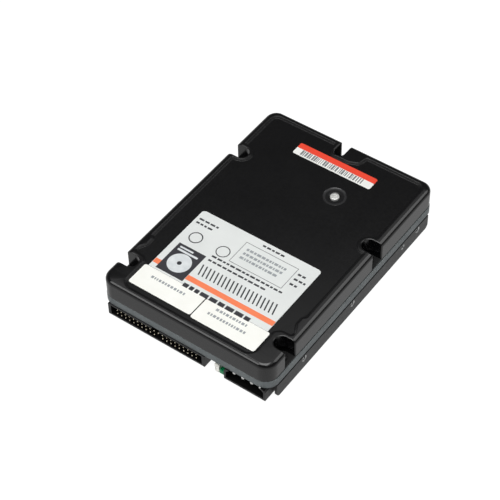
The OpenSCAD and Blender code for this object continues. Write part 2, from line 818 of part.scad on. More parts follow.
module barcode_label() {
    color([0.9, 0.4, 0.3])
        label(barcode_at[0] - barcode_w / 2, barcode_at[1], barcode_w, barcode_l, 1);
}

// ---- circuit board ----

module board_plan() {
    boss_in = body_w / 2 - boss_depth - 0.6;
    difference() {
        intersection() {
            translate([-board_x, board_front_y])
                square([2 * board_x, back_y - board_rear - board_front_y]);
            plan(tape_groove + skirt_t + 0.3);
        }
        for (s = [-1, 1]) {
            for (y = side_holes_y) translate([s * (boss_in + 10) - 10, y - boss_half - 0.6])
                square([20, 2 * boss_half + 1.2]);
            for (y = bottom_holes_y)
                translate([s * (bottom_hole_x + 6) - 10, y - bottom_boss_r - 0.6])
                    square([20, 2 * bottom_boss_r + 1.2]);
        }
        translate([0, spindle_y]) circle(motor_ring_r + 0.8);
        for (p = board_screws_at) translate(p) circle(board_screw_r + 0.2);
        for (r = [0, 1], i = [0 : ide_columns - 1])
            pin_hole(ide_pin_x(i), pin_leg_y[r], pin_w);
        for (r = [0, 1], i = [0 : jumper_columns - 1])
            pin_hole(jumper_pin_x(i), pin_leg_y[r], pin_w);
        for (i = [0 : 3]) translate([power_pin_x(i), power_leg_y]) circle(power_pin_r + fit_gap);
        translate(flex_at) square([flex_slot[0] - 0.8, flex_slot[1] - 0.8], center = true);
    }
}

module pin_hole(x, y, w) {
    translate([x, y]) square(w + 2 * fit_gap, center = true);
}

module circuit_board() {
    color([0.07, 0.3, 0.16]) slab(bay_h, board_top) board_plan();
}

module board_screws() {
    color([0.7, 0.7, 0.68]) at_board_screws() difference() {
        union() {
            rod(board_screw_r, bay_h - 0.1, deck_top - 0.8);
            rod(board_head_r, bay_h - board_head_h, bay_h);
        }
        rod(0.9, bay_h - board_head_h - sink, bay_h - 0.5, $fn = 6);
    }
}

// A chip body under the board, with its edges drawn in at the parting line
module chip(x, y, w, l, h) {
    translate([x, y, bay_h - chip_lift - h]) {
        block(-w / 2, -l / 2, h / 2, w / 2, l / 2, h);
        block(-w / 2 + 0.3, -l / 2 + 0.3, 0, w / 2 - 0.3, l / 2 - 0.3, h / 2 + 0.1);
        block(-w / 2 + 1, -l / 2 + 1, h - 0.1, w / 2 - 1, l / 2 - 1, h + chip_lift);
    }
}

module controller_chip() {
    color([0.12, 0.12, 0.13])
        chip(-controller_out, spindle_y + controller_aft, controller_w, controller_w,
            controller_h - chip_lift);
}

module processor_chip() {
    color([0.12, 0.12, 0.13])
        chip(processor_out, spindle_y + processor_aft, processor_w, processor_w, processor_h);
}

module buffer_memory_chip() {
    color([0.12, 0.12, 0.13])
        chip(-memory_out, spindle_y - memory_fore, memory_w, memory_l, memory_h);
}

module spindle_driver_chip() {
    color([0.12, 0.12, 0.13])
        chip(driver_out, spindle_y + driver_aft, driver_w, driver_w, processor_h);
}

module crystal_can() {
    color([0.78, 0.78, 0.76]) translate([-memory_out, spindle_y + crystal_aft, 0])
        slab(bay_h - crystal_h, bay_h) rounded(-crystal_l / 2, -crystal_w / 2, crystal_l / 2,
            crystal_w / 2, crystal_w / 2 - 0.1);
}

module capacitor(x, y, w, l, h) {
    block(x - w / 2, y - l / 2, bay_h - h, x + w / 2, y + l / 2, bay_h);
}

module board_capacitors() {
    large_y = spindle_y - large_cap_fore;
    small_y = spindle_y + small_cap_aft;
    small_pitch = small_cap_w + 1.8;
    color([0.85, 0.62, 0.2]) {
        for (i = [0, 1], k = [0, 1])
            capacitor(driver_out - 4 + i * (large_cap_w + 1.8), large_y - k * (large_cap_l + 0.8),
                large_cap_w, large_cap_l, large_cap_h);
        for (i = [0 : 5])
            capacitor(-controller_out - 5 + small_pitch * i, small_y, small_cap_w, small_cap_l,
                small_cap_h);
        for (i = [0 : 4])
            capacitor(2 + small_pitch * i, small_y + 0.5, small_cap_w, small_cap_l, small_cap_h);
    }
}

module board_connectors() {
    color([0.85, 0.83, 0.76]) {
        translate([flex_at[0], flex_at[1], 0])
            block(-flex_slot[0] / 2 + 0.4 + fit_gap, -flex_slot[1] / 2 + 0.4 + fit_gap, bay_h - 1,
                flex_slot[0] / 2 - 0.4 - fit_gap, flex_slot[1] / 2 - 0.4 - fit_gap, deck_top);
        translate([0, spindle_y + motor_ring_r + 3.6, 0])
            block(-4, -2, bay_h - 3, 4, 2, bay_h);
    }
}

// ---- connectors ----

// The casting's skirt with play round it, taken out of the shells behind it
module skirt_room() {
    slab(skirt_z - fit_gap, board_top) difference() {
        plan(-2);
        plan(tape_groove + skirt_t + fit_gap);
    }
}

module ide_connector_shell() {
    x0 = ide_x - ide_w / 2;
    x1 = ide_x + ide_w / 2;
    back = front_y + shell_l;
    color([0.09, 0.09, 0.1]) difference() {
        block(x0, front_y, shell_bottom, x1, back, shell_top);
        block(x0 + shell_end, front_y - sink, shell_bottom + shell_wall, x1 - shell_end,
            back - 1.8, mouth_top);
        skirt_room();
        block(ide_x - 2.2, front_y - sink, mouth_top - sink, ide_x + 2.2, back - 3,
            shell_top + sink);
        for (r = [0, 1], i = [0 : ide_columns - 1]) if (!is_key(r, i))
            translate([ide_pin_x(i), back - 2, ide_rows[r]])
                cube([pin_w + 2 * fit_gap, 6, pin_w + 2 * fit_gap], center = true);
    }
}

// An angled pin: out of the shell, back under the board and up through it
module angle_pin(x, z, tip_y, leg_y) {
    h = pin_w / 2;
    block(x - h, tip_y, z - h, x + h, leg_y + h, z + h);
    block(x - h, leg_y - h, z - h, x + h, leg_y + h, board_top + pin_through);
}

module ide_pins() {
    color([0.8, 0.72, 0.5]) for (r = [0, 1], i = [0 : ide_columns - 1])
        if (!is_key(r, i)) angle_pin(ide_pin_x(i), ide_rows[r], pin_tip_y, pin_leg_y[r]);
}

// The power shell's mouth up to a level, l deep, its upper corners cut off
module power_mouth(top, l) {
    wall = 1.1;
    x0 = power_x - power_w / 2 + wall;
    x1 = power_x + power_w / 2 - wall;
    turn = shell_top - power_chamfer - wall * (sqrt(2) - 1);
    translate([0, front_y + l, 0]) rotate([90, 0, 0]) linear_extrude(l + sink)
        polygon([[x0, shell_bottom + wall], [x1, shell_bottom + wall], [x1, turn],
            [x1 - top + turn, top], [x0 + top - turn, top], [x0, turn]]);
}

module power_connector_shell() {
    x0 = power_x - power_w / 2;
    x1 = power_x + power_w / 2;
    back = front_y + shell_l;
    c = power_chamfer;
    color([0.09, 0.09, 0.1]) difference() {
        translate([0, back, 0]) rotate([90, 0, 0]) linear_extrude(shell_l)
            polygon([[x0, shell_bottom], [x1, shell_bottom], [x1, shell_top - c],
                [x1 - c, shell_top], [x0 + c, shell_top], [x0, shell_top - c]]);
        power_mouth(mouth_top, shell_l - 2);
        power_mouth(shell_top + sink, cover_front_y + tape_groove + skirt_t + fit_gap - front_y);
        skirt_room();
        for (i = [0 : 3]) translate([power_pin_x(i), back + sink, power_pin_z]) rotate([90, 0, 0])
            cylinder(h = 6, r = power_pin_r + fit_gap);
    }
}

module power_pins() {
    color([0.82, 0.82, 0.8]) for (i = [0 : 3]) translate([power_pin_x(i), 0, 0]) {
        translate([0, power_leg_y, power_pin_z]) rotate([90, 0, 0])
            cylinder(h = power_leg_y - power_tip_y, r = power_pin_r);
        translate([0, power_leg_y, 0]) rod(power_pin_r, power_pin_z, board_top + pin_through);
        translate([0, power_leg_y, power_pin_z]) sphere(power_pin_r);
    }
}

// The pin block, closed at the front round all columns but the shunt's
module jumper_header() {
    x0 = jumper_x - jumper_w / 2;
    z0 = jumper_rows[1] - pitch / 2;
    z1 = jumper_rows[0] + pitch / 2;
    hole = pin_w + 2 * fit_gap;
    color([0.93, 0.92, 0.87]) difference() {
        union() {
            block(x0, jumper_front_y, z0, x0 + jumper_w, jumper_front_y + jumper_l, z1);
            block(x0, jumper_face_y, z0, jumper_pin_x(shunt_column) - shunt_w / 2 - 0.15,
                jumper_front_y + 0.1, z1);
        }
        for (z = jumper_rows, i = [0 : jumper_columns - 1])
            block(jumper_pin_x(i) - hole / 2, jumper_tip_y - 0.1, z - hole / 2,
                jumper_pin_x(i) + hole / 2, jumper_front_y + jumper_l + sink, z + hole / 2);
    }
}

module jumper_pins() {
    color([0.8, 0.72, 0.5]) for (r = [0, 1], i = [0 : jumper_columns - 1])
        angle_pin(jumper_pin_x(i), jumper_rows[r], jumper_tip_y, pin_leg_y[r]);
}

// The shunt, with a pull tab at the front of its lower half
module jumper_shunt() {
    x = jumper_pin_x(shunt_column);
    z0 = (jumper_rows[0] + jumper_rows[1] - shunt_h) / 2;
    y1 = jumper_front_y - shunt_off;
    hole = pin_w + 2 * fit_gap;
    color([0.05, 0.5, 0.3]) difference() {
        union() {
            block(x - shunt_w / 2, y1 - shunt_l, z0, x + shunt_w / 2, y1, z0 + shunt_h);
            block(x - shunt_w / 2, jumper_face_y, z0, x + shunt_w / 2, y1 - shunt_l + 0.1,
                z0 + shunt_tab_h);
        }
        for (r = jumper_rows) block(x - hole / 2, y1 - shunt_l + shunt_end, r - hole / 2,
            x + hole / 2, y1 + sink, r + hole / 2);
    }
}

// ---- spindle motor and disc pack ----

module motor_flange() {
    color([0.7, 0.71, 0.72]) at_spindle() difference() {
        union() {
            rod(motor_ring_r, motor_top - motor_flange_t, motor_top);
            rod(well_r - fit_gap, motor_top - 0.1, spigot_z);
            rod(tube_r, spigot_z - 0.1, tube_top);
        }
        rod(bearing_r, motor_top + flange_floor, tube_top + sink);
        ring_of(3, motor_screw_circle_r)
            rod(small_screw_r + fit_gap, motor_top - motor_flange_t - sink, motor_top + sink);
    }
}

module motor_screws() {
    z = motor_top - motor_flange_t;
    color([0.7, 0.7, 0.68]) at_spindle() ring_of(3, motor_screw_circle_r) difference() {
        union() {
            rod(small_screw_r, z - 0.1, motor_top + 2.6);
            rod(small_head_r - 0.3, z - 0.9, z);
        }
        rod(0.7, z - 0.9 - sink, z - 0.4, $fn = 6);
    }
}

module spindle_shaft() {
    color([0.8, 0.8, 0.8]) at_spindle() rod(shaft_r, shaft_bottom, hub_top);
}

// The two spindle bearings' places along the shaft
module at_bearings() {
    for (z = [shaft_bottom + 0.2, tube_top - bearing_h - 0.1]) translate([0, 0, z]) children();
}

module bearing_outer_rings() {
    color([0.75, 0.75, 0.76]) at_spindle() at_bearings()
        tube(bearing_r - race_t, bearing_r, 0, bearing_h);
}

module bearing_inner_rings() {
    color([0.75, 0.75, 0.76]) at_spindle() at_bearings()
        tube(shaft_r, shaft_r + race_t, 0, bearing_h);
}

module bearing_balls() {
    color([0.85, 0.85, 0.85]) at_spindle() at_bearings() ring_of(balls_n, ball_circle_r)
        translate([0, 0, bearing_h / 2]) sphere(ball_r, $fn = 24);
}

module stator_core() {
    color([0.5, 0.5, 0.52]) at_spindle() slab(core_z, core_z + core_t) difference() {
        union() {
            circle(core_hub_r);
            ring_of(stator_poles, 0) translate([core_hub_r - 0.5, -tooth_w / 2])
                square([core_r - core_hub_r, tooth_w]);
            difference() {
                circle(core_r);
                circle(core_r - tooth_tip);
                ring_of(stator_poles, 0) rotate(180 / stator_poles)
                    translate([0, -0.5]) square([2 * core_r, 1]);
            }
        }
        circle(tube_r);
    }
}

module stator_coils() {
    far = core_r - tooth_tip - 0.2;
    near = core_hub_r + 0.2;
    half = min(tooth_w / 2 + 0.6, near * sin(180 / stator_poles) - 0.1);
    rise = 0.5;
    color([0.75, 0.42, 0.2]) at_spindle() ring_of(stator_poles, 0) difference() {
        block(near, -half, core_z - rise, far, half, core_z + core_t + rise);
        block(near - sink, -tooth_w / 2, core_z, far + sink, tooth_w / 2, core_z + core_t);
    }
}

module rotor_magnet() {
    color([0.2, 0.2, 0.22]) at_spindle()
        tube(magnet_in_r, rotor_in_r, ledge_z - magnet_ring_h, ledge_z);
}

module hub() {
    color([0.78, 0.79, 0.8]) at_spindle() difference() {
        union() {
            rod(hub_r, ledge_z, hub_top);
            rod(hub_r + ledge_w, ledge_z, disc_1);
            rod(skirt_r, rotor_z, ledge_z + 0.2);
        }
        rod(rotor_in_r, rotor_z - sink, ledge_z);
        rod(hub_bore_r, rotor_z - sink, tube_top + free_gap);
        rod(shaft_r, rotor_z - sink, hub_top + sink);
        ring_of(clamp_screws_n, clamp_screw_circle_r)
            rod(small_screw_r + fit_gap, disc_top - 3, hub_top + sink);
    }
}

module platter(z) {
    color([0.55, 0.48, 0.42]) at_spindle()
        tube(hub_r + fit_gap, platter_r, z, z + platter_t);
}

module lower_platter() {
    platter(disc_1);
}

module upper_platter() {
    platter(disc_2);
}

module platter_spacer() {
    color([0.8, 0.81, 0.82]) at_spindle()
        tube(hub_r + fit_gap, hub_r + ledge_w, disc_1 + platter_t, disc_2);
}

module disc_clamp() {
    color([0.72, 0.73, 0.74]) at_spindle() difference() {
        rod(hub_r + ledge_w - 0.5, disc_top, hub_top + clamp_t);
        rod(hub_r + fit_gap, disc_top - sink, hub_top);
        rod(shaft_r + 2, disc_top - sink, hub_top + clamp_t + sink);
        ring_of(clamp_screws_n, clamp_screw_circle_r) {
            rod(small_screw_r + fit_gap, disc_top - sink, hub_top + clamp_t + sink);
            rod(small_head_r + fit_gap, hub_top + clamp_t - clamp_sink, hub_top + clamp_t + sink);
        }
    }
}

module clamp_screws() {
    seat = hub_top + clamp_t - clamp_sink;
    color([0.6, 0.6, 0.6]) at_spindle() ring_of(clamp_screws_n, clamp_screw_circle_r) difference() {
        union() {
            rod(small_screw_r, disc_top - 2.6, seat + 0.1);
            rod(small_head_r, seat, seat + 0.7);
        }
        rod(0.8, seat + 0.3, seat + 0.7 + sink, $fn = 6);
    }
}

// ---- actuator ----

module pivot_shaft() {
    color([0.78, 0.78, 0.8]) at_pivot() difference() {
        union() {
            rod(pivot_r, deck_z + 0.2, roof_z);
            rod(pivot_r + race_t, deck_top, deck_top + pivot_seat_t);
        }
        rod(cover_screw_r + fit_gap, roof_z - 4.4, roof_z + sink);
    }
}

module at_pivot_bearings() {
    for (z = [deck_top + pivot_seat_t + 0.2, block_top - pivot_ring_h - 0.2])
        translate([0, 0, z]) children();
}

module pivot_inner_rings() {
    color([0.75, 0.75, 0.76]) at_pivot() at_pivot_bearings()
        tube(pivot_r, pivot_r + race_t, 0, pivot_ring_h);
}

module pivot_balls() {
    color([0.85, 0.85, 0.85]) at_pivot() at_pivot_bearings()
        ring_of(pivot_balls_n, pivot_ball_circle_r)
            translate([0, 0, pivot_ring_h / 2]) sphere(pivot_ball_r, $fn = 24);
}

module pivot_sleeve() {
    color([0.7, 0.7, 0.72]) at_pivot() tube(sleeve_in_r, sleeve_r, arm_z[0] + 0.1, block_top - 0.1);
}

module arm_plan() {
    difference() {
        union() {
            polygon([[0, -arm_root_w / 2], [0, arm_root_w / 2], [arm_tip, arm_tip_w / 2],
                [arm_tip, -arm_tip_w / 2]]);
            translate([arm_tip, 0]) circle(arm_tip_w / 2);
        }
        polygon([[block_r + 4.5, 0.2 * -arm_root_w], [block_r + 4.5, 0.2 * arm_root_w],
            [arm_tip - 6, arm_tip_w / 2 - 1.7], [arm_tip - 6, 1.7 - arm_tip_w / 2]]);
    }
}

// Places at a corner of the coil: distance from the pivot and half angle
module coil_corners(in_r, out_r, in_a, out_a) {
    hull() for (s = [-1, 1]) {
        rotate(180 + s * in_a) translate([in_r, 0]) children();
        rotate(180 + s * out_a) translate([out_r, 0]) children();
    }
}

module coil_outside() {
    coil_corners(coil_in_r, coil_out_r, coil_half_a, frame_half_a) circle(coil_corner_r, $fn = 32);
}

module coil_inside() {
    coil_corners(coil_in_r + 3, coil_out_r - 3, coil_half_a - 6, frame_half_a - 6) circle(0.8, $fn = 32);
}

module frame_outside() {
    coil_corners(coil_in_r, coil_out_r, coil_half_a, frame_half_a)
        circle(coil_corner_r + coil_rim, $fn = 32);
}

module arm_block() {
    color([0.72, 0.73, 0.75]) difference() {
        union() {
            at_pivot() rod(block_r, arm_z[0], block_top);
            on_arm() {
                slab(arm_z[0], arm_z[0] + arm_t) arm_plan();
                slab(arm_z[1], arm_z[1] + mid_arm_t) arm_plan();
                slab(arm_z[2], arm_z[2] + arm_t) arm_plan();
                slab(coil_z0, coil_z1) difference() {
                    polygon([[0, -arm_root_w / 2 - 0.5], [0, arm_root_w / 2 + 0.5],
                        [-coil_in_r, 5.5], [-coil_in_r, -5.5]]);
                    frame_outside();
                }
            }
            at_pivot() rotate(flex_a) block(0, -1.5, arm_z[0] + 1.4, flex_r - fit_gap, 1.5,
                block_top - 1.4);
        }
        at_pivot() rod(sleeve_r + fit_gap, arm_z[0] - sink, block_top + sink);
    }
}

module suspensions() {
    color([0.8, 0.8, 0.78]) on_arm() for (z = susp_z) slab(z, z + susp_t) difference() {
        polygon([[arm_tip - 4, -2.9], [arm_tip + 3, -3.4], [arm_l - 2, -1.3], [arm_l + 1.4, -1],
            [arm_l + 1.4, 1], [arm_l - 2, 1.3], [arm_tip + 3, 3.4], [arm_tip - 4, 2.9]]);
        translate([arm_tip, 0]) circle(1.2);
    }
}

module head_sliders() {
    color([0.3, 0.3, 0.32]) on_arm() for (z = slider_z)
        block(arm_l - slider_l / 2, -0.9, z, arm_l + slider_l / 2, 0.9, z + slider_h);
}

module coil_frame() {
    color([0.15, 0.15, 0.16]) on_arm() slab(coil_z0, coil_z1) difference() {
        frame_outside();
        coil_outside();
    }
}

module voice_coil() {
    color([0.75, 0.42, 0.2]) on_arm() slab(coil_z0, coil_z1) difference() {
        coil_outside();
        coil_inside();
    }
}

module yoke_plate(z) {
    color([0.72, 0.72, 0.7]) at_pivot() rotate(coil_mid_dir) difference() {
        slab(z, z + yoke_t) sector(yoke_in_r, yoke_out_r, -yoke_a, yoke_a);
        for (s = [-1, 1]) rotate(s * post_a) translate([post_circle_r, 0, 0])
            rod(post_r - 0.4 + fit_gap, z - sink, z + yoke_t + sink);
    }
}

module lower_yoke_plate() {
    yoke_plate(deck_top);
}

module upper_yoke_plate() {
    yoke_plate(upper_yoke_z);
}

module voice_coil_magnets() {
    a = swing / 2 + coil_half_a - 2;
    color([0.6, 0.6, 0.62]) at_pivot() rotate(coil_mid_dir) {
        slab(deck_top + yoke_t, deck_top + yoke_t + vcm_t)
            sector(coil_in_r - 1, coil_out_r + 0.6, -a, a);
        slab(upper_yoke_z - vcm_t, upper_yoke_z) sector(coil_in_r - 1, coil_out_r + 0.6, -a, a);
    }
}

module at_posts() {
    at_pivot() rotate(coil_mid_dir) for (s = [-1, 1])
        rotate(s * post_a) translate([post_circle_r, 0, 0]) children();
}

module yoke_posts() {
    color([0.7, 0.7, 0.7]) at_posts() {
        rod(post_r, deck_top + yoke_t, upper_yoke_z);
        rod(post_r - 0.4, deck_top, upper_yoke_z + yoke_t);
    }
}

module crash_stops() {
    color([0.1, 0.1, 0.1]) at_posts() tube(post_r, stop_r, deck_top + yoke_t, upper_yoke_z);
}

module flex_cable() {
    cx = flex_tab[0] - flex_loop_r;
    color([0.8, 0.5, 0.15]) slab(flex_z[0], flex_z[1]) {
        translate([cx, flex_tab[1]]) sector(flex_loop_r - flex_t, flex_loop_r, 0, 180);
        translate([cx - flex_loop_r, flex_tab[1] - 5]) square([flex_t, 5.01]);
    }
}

module flex_bracket() {
    x = flex_tab[0] - 2 * flex_loop_r - 0.02;
    color([0.7, 0.7, 0.7]) {
        block(x - 1.2, flex_tab[1] - 7, deck_top, x, flex_tab[1] + 3, block_top - 1);
        block(x - 6, flex_tab[1] - 7, deck_top, x, flex_tab[1] + 3, deck_top + 0.8);
    }
}

module breather_filter() {
    color([0.92, 0.92, 0.9]) translate([breather_at[0], breather_at[1], 0])
        rod(5, deck_top, deck_top + 3);
}

module recirculation_filter() {
    color([0.92, 0.92, 0.9]) translate([-cover_x + 19, spindle_y + platter_r + 9, 0]) rotate(40)
        block(-6, -2, deck_top, 6, 2, disc_top);
}

base_casting();
top_cover();
cover_gasket();
seal_tape();
cover_screws();
pivot_cover_screw();
main_label();
front_stickers();
barcode_label();
circuit_board();
board_screws();
controller_chip();
processor_chip();
buffer_memory_chip();
spindle_driver_chip();
crystal_can();
board_capacitors();
board_connectors();
ide_connector_shell();
ide_pins();
power_connector_shell();
power_pins();
jumper_header();
jumper_pins();
jumper_shunt();
motor_flange();
motor_screws();
spindle_shaft();
bearing_outer_rings();
bearing_balls();
bearing_inner_rings();
stator_core();
stator_coils();
rotor_magnet();
hub();
lower_platter();
upper_platter();
platter_spacer();
disc_clamp();
clamp_screws();
pivot_shaft();
pivot_inner_rings();
pivot_balls();
pivot_sleeve();
arm_block();
suspensions();
head_sliders();
coil_frame();
voice_coil();
lower_yoke_plate();
upper_yoke_plate();
voice_coil_magnets();
yoke_posts();
crash_stops();
flex_cable();
flex_bracket();
breather_filter();
recirculation_filter();
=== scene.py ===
import json
import math
import bmesh
import bpy
import numpy as np
from mathutils import Matrix, Vector
from mathutils.geometry import delaunay_2d_cdt


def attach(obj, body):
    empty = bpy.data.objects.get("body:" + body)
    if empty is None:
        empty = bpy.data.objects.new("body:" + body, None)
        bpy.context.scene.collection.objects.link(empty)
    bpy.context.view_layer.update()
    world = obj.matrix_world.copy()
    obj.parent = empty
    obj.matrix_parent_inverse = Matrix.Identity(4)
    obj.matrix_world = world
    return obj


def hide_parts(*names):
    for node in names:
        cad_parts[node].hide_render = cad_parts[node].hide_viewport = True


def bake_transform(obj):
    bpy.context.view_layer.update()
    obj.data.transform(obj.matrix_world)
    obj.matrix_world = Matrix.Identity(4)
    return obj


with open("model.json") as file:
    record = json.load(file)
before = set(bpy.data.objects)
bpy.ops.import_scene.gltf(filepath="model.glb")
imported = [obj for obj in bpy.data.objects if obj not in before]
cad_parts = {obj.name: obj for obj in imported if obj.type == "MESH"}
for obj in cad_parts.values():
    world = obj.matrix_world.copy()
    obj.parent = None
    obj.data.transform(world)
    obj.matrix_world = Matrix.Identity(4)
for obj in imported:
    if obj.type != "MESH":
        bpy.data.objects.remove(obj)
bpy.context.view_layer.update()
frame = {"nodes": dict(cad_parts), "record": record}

MM = 0.001
SLOTS = {s["node"]: s["material_slot"] for s in frame["record"]["subparts"]}


# ---------------- sizes, in mm

# Heights on the cover: top, sunk panel, notch floors, groove, lower rim's top and bottom, roof inside
TOP, PANEL, FLOOR, GROOVE, RIM, BOTTOM, ROOF = 25.4, 24.7, 14.4, 13.5, 13.4, 12.8, 23.3
SIDE, FRONT, BACK = 50.2, -72.5, 73.0  # the cover's outline: half its width, its front and its back
CORNERS = {-1: 7.0, 1: 6.2}  # plan radius of the front and of the rear corners
RECTANGLE = [(-SIDE, FRONT, CORNERS[-1]), (SIDE, FRONT, CORNERS[-1]),
             (SIDE, BACK, CORNERS[1]), (-SIDE, BACK, CORNERS[1])]
RISE = 2.6  # height of the rounded top edge
WIDTHS = {"side": 3.3, "front": 2.5, "back": 2.7}  # how far that rounding reaches in
SHARES = {w: WIDTHS[w] / RISE for w in WIDTHS}
GROOVE_IN = 0.3
STAND = 2 / 3  # how far the lower rim stands out at the sides, as a share of the groove's depth
# The notches for the cover's screws: centre, way the mouth faces in degrees, radius
NOTCHES = [(45.4, -55.3, 0, 4.0), (45.4, 19.3, 0, 4.0), (-3.0, 65.6, 90, 3.0),
           (-44.3, 36.4, 180, 4.0), (-44.3, -55.3, 180, 4.0)]
MOUTH_R = 0.8  # plan radius at a notch's mouth
LIP = 0.3  # how far a notch's sides are drawn in, as a share of RISE
LIP_WIDE, LIP_DEEP = 0.6, 0.5  # rounding of the top along the notches
PIVOT = (12.6, 37.7)
CASE_SIDE = 50.8
SIDE_HOLES = [(-44.5, 6.35, 1.385), (-2.9, 6.35, 1.385), (57.1, 6.35, 1.385), (43.1, 5.95, 1.2)]  # y, z, radius
SINK = 0.4  # how far the countersinks of the side holes widen and reach in
PITCH = 2.54
COLUMNS = -16.75 + (np.arange(20) - 9.5) * PITCH  # x of the data pins
MISSING = 10  # the lower row's column without a pin
LEGS = (-62.4, -59.86)  # y of the pins' legs, upper row and lower row
POWER_X, POWER_LEG, POWER_HALF = (28.48, 33.56, 38.64, 43.72), -62.0, 1.05
JUMPER_X = 20.49
DATA_ROWS, POWER_ROW, JUMPER_ROWS = (6.6, 4.06), 6.0, (5.31, 2.77)  # heights of the pins
DATA_TIP, POWER_TIP, JUMPER_TIP = -72.6, -71.1, -68.5  # y of their tips
LEG_TOP = [11.0, 11.6, 11.9]  # heights of a leg's shoulder, taper and end
BOARD = 9.2, 10.8  # height of the board's underside and top
STICKER_TOP = 24.8  # height at which the print lies
INK = 0.02


# ---------------- camera

def placed(name, data):
    """A new object in the scene."""
    made = bpy.data.objects.new(name, data)
    bpy.context.scene.collection.objects.link(made)
    return made


AZIMUTH, ELEVATION, ROLL = 36.726, 47.844, -1.296  # degrees
DISTANCE, TARGET = 817.711, (-7.98, -7.043, 12.0)
LENS, SENSOR = 117.84, 36.0
CLIP = 0.05, 20.0  # metres


def place_camera():
    """A camera turned round its target: back is the way from the target to it, rolled about itself."""
    az, el, ro = np.radians([AZIMUTH, ELEVATION, ROLL])
    back = np.array([math.sin(az) * math.cos(el), -math.cos(az) * math.cos(el), math.sin(el)])
    across = np.array([math.cos(az), math.sin(az), 0.0])
    up = np.cross(back, across)
    right = math.cos(ro) * across + math.sin(ro) * up
    top = -math.sin(ro) * across + math.cos(ro) * up
    data = bpy.data.cameras.new("bench_camera")
    data.lens, data.sensor_width = LENS, SENSOR
    data.clip_start, data.clip_end = CLIP
    camera = placed("bench_camera", data)
    place = Matrix(np.column_stack([right, top, back]).tolist()).to_4x4()
    place.translation = Vector((np.array(TARGET) + back * DISTANCE) * MM)
    camera.matrix_world = place
    bpy.context.scene.camera = camera


place_camera()


# ---------------- finishes

def linear(code):
    """An sRGB hex colour as linear red, green, blue and 1."""
    c = np.array([int(code[i:i + 2], 16) for i in (1, 3, 5)]) / 255
    c = np.where(c <= 0.04045, c / 12.92, ((c + 0.055) / 1.055) ** 2.4)
    return (*c, 1.0)


def emptied(block):
    """The node tree of a material or world, without its nodes."""
    block.use_nodes = True
    block.node_tree.nodes.clear()
    return block.node_tree


def add(tree, kind, inputs=(), **settings):
    """Add a node with its settings; inputs pairs a socket's name or number with a value or an output."""
    made = tree.nodes.new("ShaderNode" + kind)
    for key, value in settings.items():
        setattr(made, key, value)
    for key, value in dict(inputs).items():
        if isinstance(value, bpy.types.NodeSocket):
            tree.links.new(value, made.inputs[key])
        else:
            made.inputs[key].default_value = value
    return made


def maths(tree, operation, *values):
    """The result of one operation on values or outputs."""
    return add(tree, "Math", dict(enumerate(values)), operation=operation).outputs[0]


def axes(tree, source="TexCoord", output="Object"):
    """The x, y and z of the place, or of what another node gives."""
    return add(tree, "SeparateXYZ", {0: add(tree, source).outputs[output]}).outputs


def grain(tree, size, detail=3.0, stretch=(1, 1, 1)):
    """Noise whose grains are size millimetres across, drawn out along the axes by stretch."""
    where = add(tree, "TexCoord")
    scaled = add(tree, "Mapping", {"Vector": where.outputs["Object"], "Scale": stretch})
    return add(tree, "TexNoise", {"Vector": scaled.outputs[0], "Scale": 1000 / size,
                                  "Detail": detail, "Roughness": 0.55}).outputs["Fac"]


def spread(tree, value, low, high, start=0.3, end=0.7):
    """Spread a grain's values from low to high."""
    return add(tree, "MapRange", {"Value": value, "From Min": start, "From Max": end,
                                  "To Min": low, "To Max": high}).outputs["Result"]


def blended(tree, share, one, other):
    """A colour between two, by share."""
    mix = add(tree, "Mix", {0: share, 6: one, 7: other}, data_type="RGBA")
    return mix.outputs[2]


def finish(name, colour, other, patch, rough, bump=(), metal=0.0, stretch=(1, 1, 1), fine=None, coat=0.0, sheen=0.0):
    """A surface that drifts between two colours in patches, with its roughness and fine relief.

    patch is the patches' size in mm, rough the least and greatest roughness, bump a list of
    (grain size in mm, height in mm), fine the size of the roughness's grain."""
    material = bpy.data.materials.new(name)
    tree = emptied(material)
    shader = add(tree, "BsdfPrincipled")
    add(tree, "OutputMaterial", {"Surface": shader.outputs[0]})
    share = spread(tree, grain(tree, patch, 4.0, stretch), 0.0, 1.0)
    tree.links.new(blended(tree, share, linear(colour), linear(other)), shader.inputs["Base Color"])
    rub = grain(tree, fine or patch * 0.4, 3.0, stretch)
    tree.links.new(spread(tree, rub, rough[0], rough[1]), shader.inputs["Roughness"])
    shader.inputs["Metallic"].default_value = metal
    if coat:
        shader.inputs["Coat Weight"].default_value = coat
        shader.inputs["Coat Roughness"].default_value = COAT_ROUGH
    if sheen:
        shader.inputs["Sheen Weight"].default_value = sheen
    normal = None
    for size, height in bump:
        inputs = {"Height": grain(tree, size, 2.0, stretch), "Strength": 1.0, "Distance": height * MM}
        if normal:
            inputs["Normal"] = normal
        normal = add(tree, "Bump", inputs).outputs[0]
    if normal:
        tree.links.new(normal, shader.inputs["Normal"])
    return material


UPWARD = 0.7  # least upward part of a face's normal
RING_SOFT = 0.25  # half the width of a ring's soft edge
COAT_ROUGH = 0.12


def within(tree, low, high, upward=False):
    """1 inside the box from low to high, in mm, else 0; upward keeps only faces that look up."""
    place = axes(tree)
    tests = [(place[i], way, edge * MM) for way, edges in (("GREATER_THAN", low), ("LESS_THAN", high))
             for i, edge in enumerate(edges) if edge is not None]
    if upward:
        tests.append((axes(tree, "NewGeometry", "Normal")[2], "GREATER_THAN", UPWARD))
    share = 1.0
    for value, way, edge in tests:
        share = maths(tree, "MULTIPLY", maths(tree, way, value, edge), share)
    return share


def surface(material):
    """A material's node tree and its surface shader."""
    tree = material.node_tree
    return tree, next(n for n in tree.nodes if n.type == "BSDF_PRINCIPLED")


def tint(tree, shader, share, colour):
    """Blend the shader's colour towards another, by share."""
    plain = shader.inputs["Base Color"].links[0].from_socket
    tree.links.new(blended(tree, share, plain, colour), shader.inputs["Base Color"])


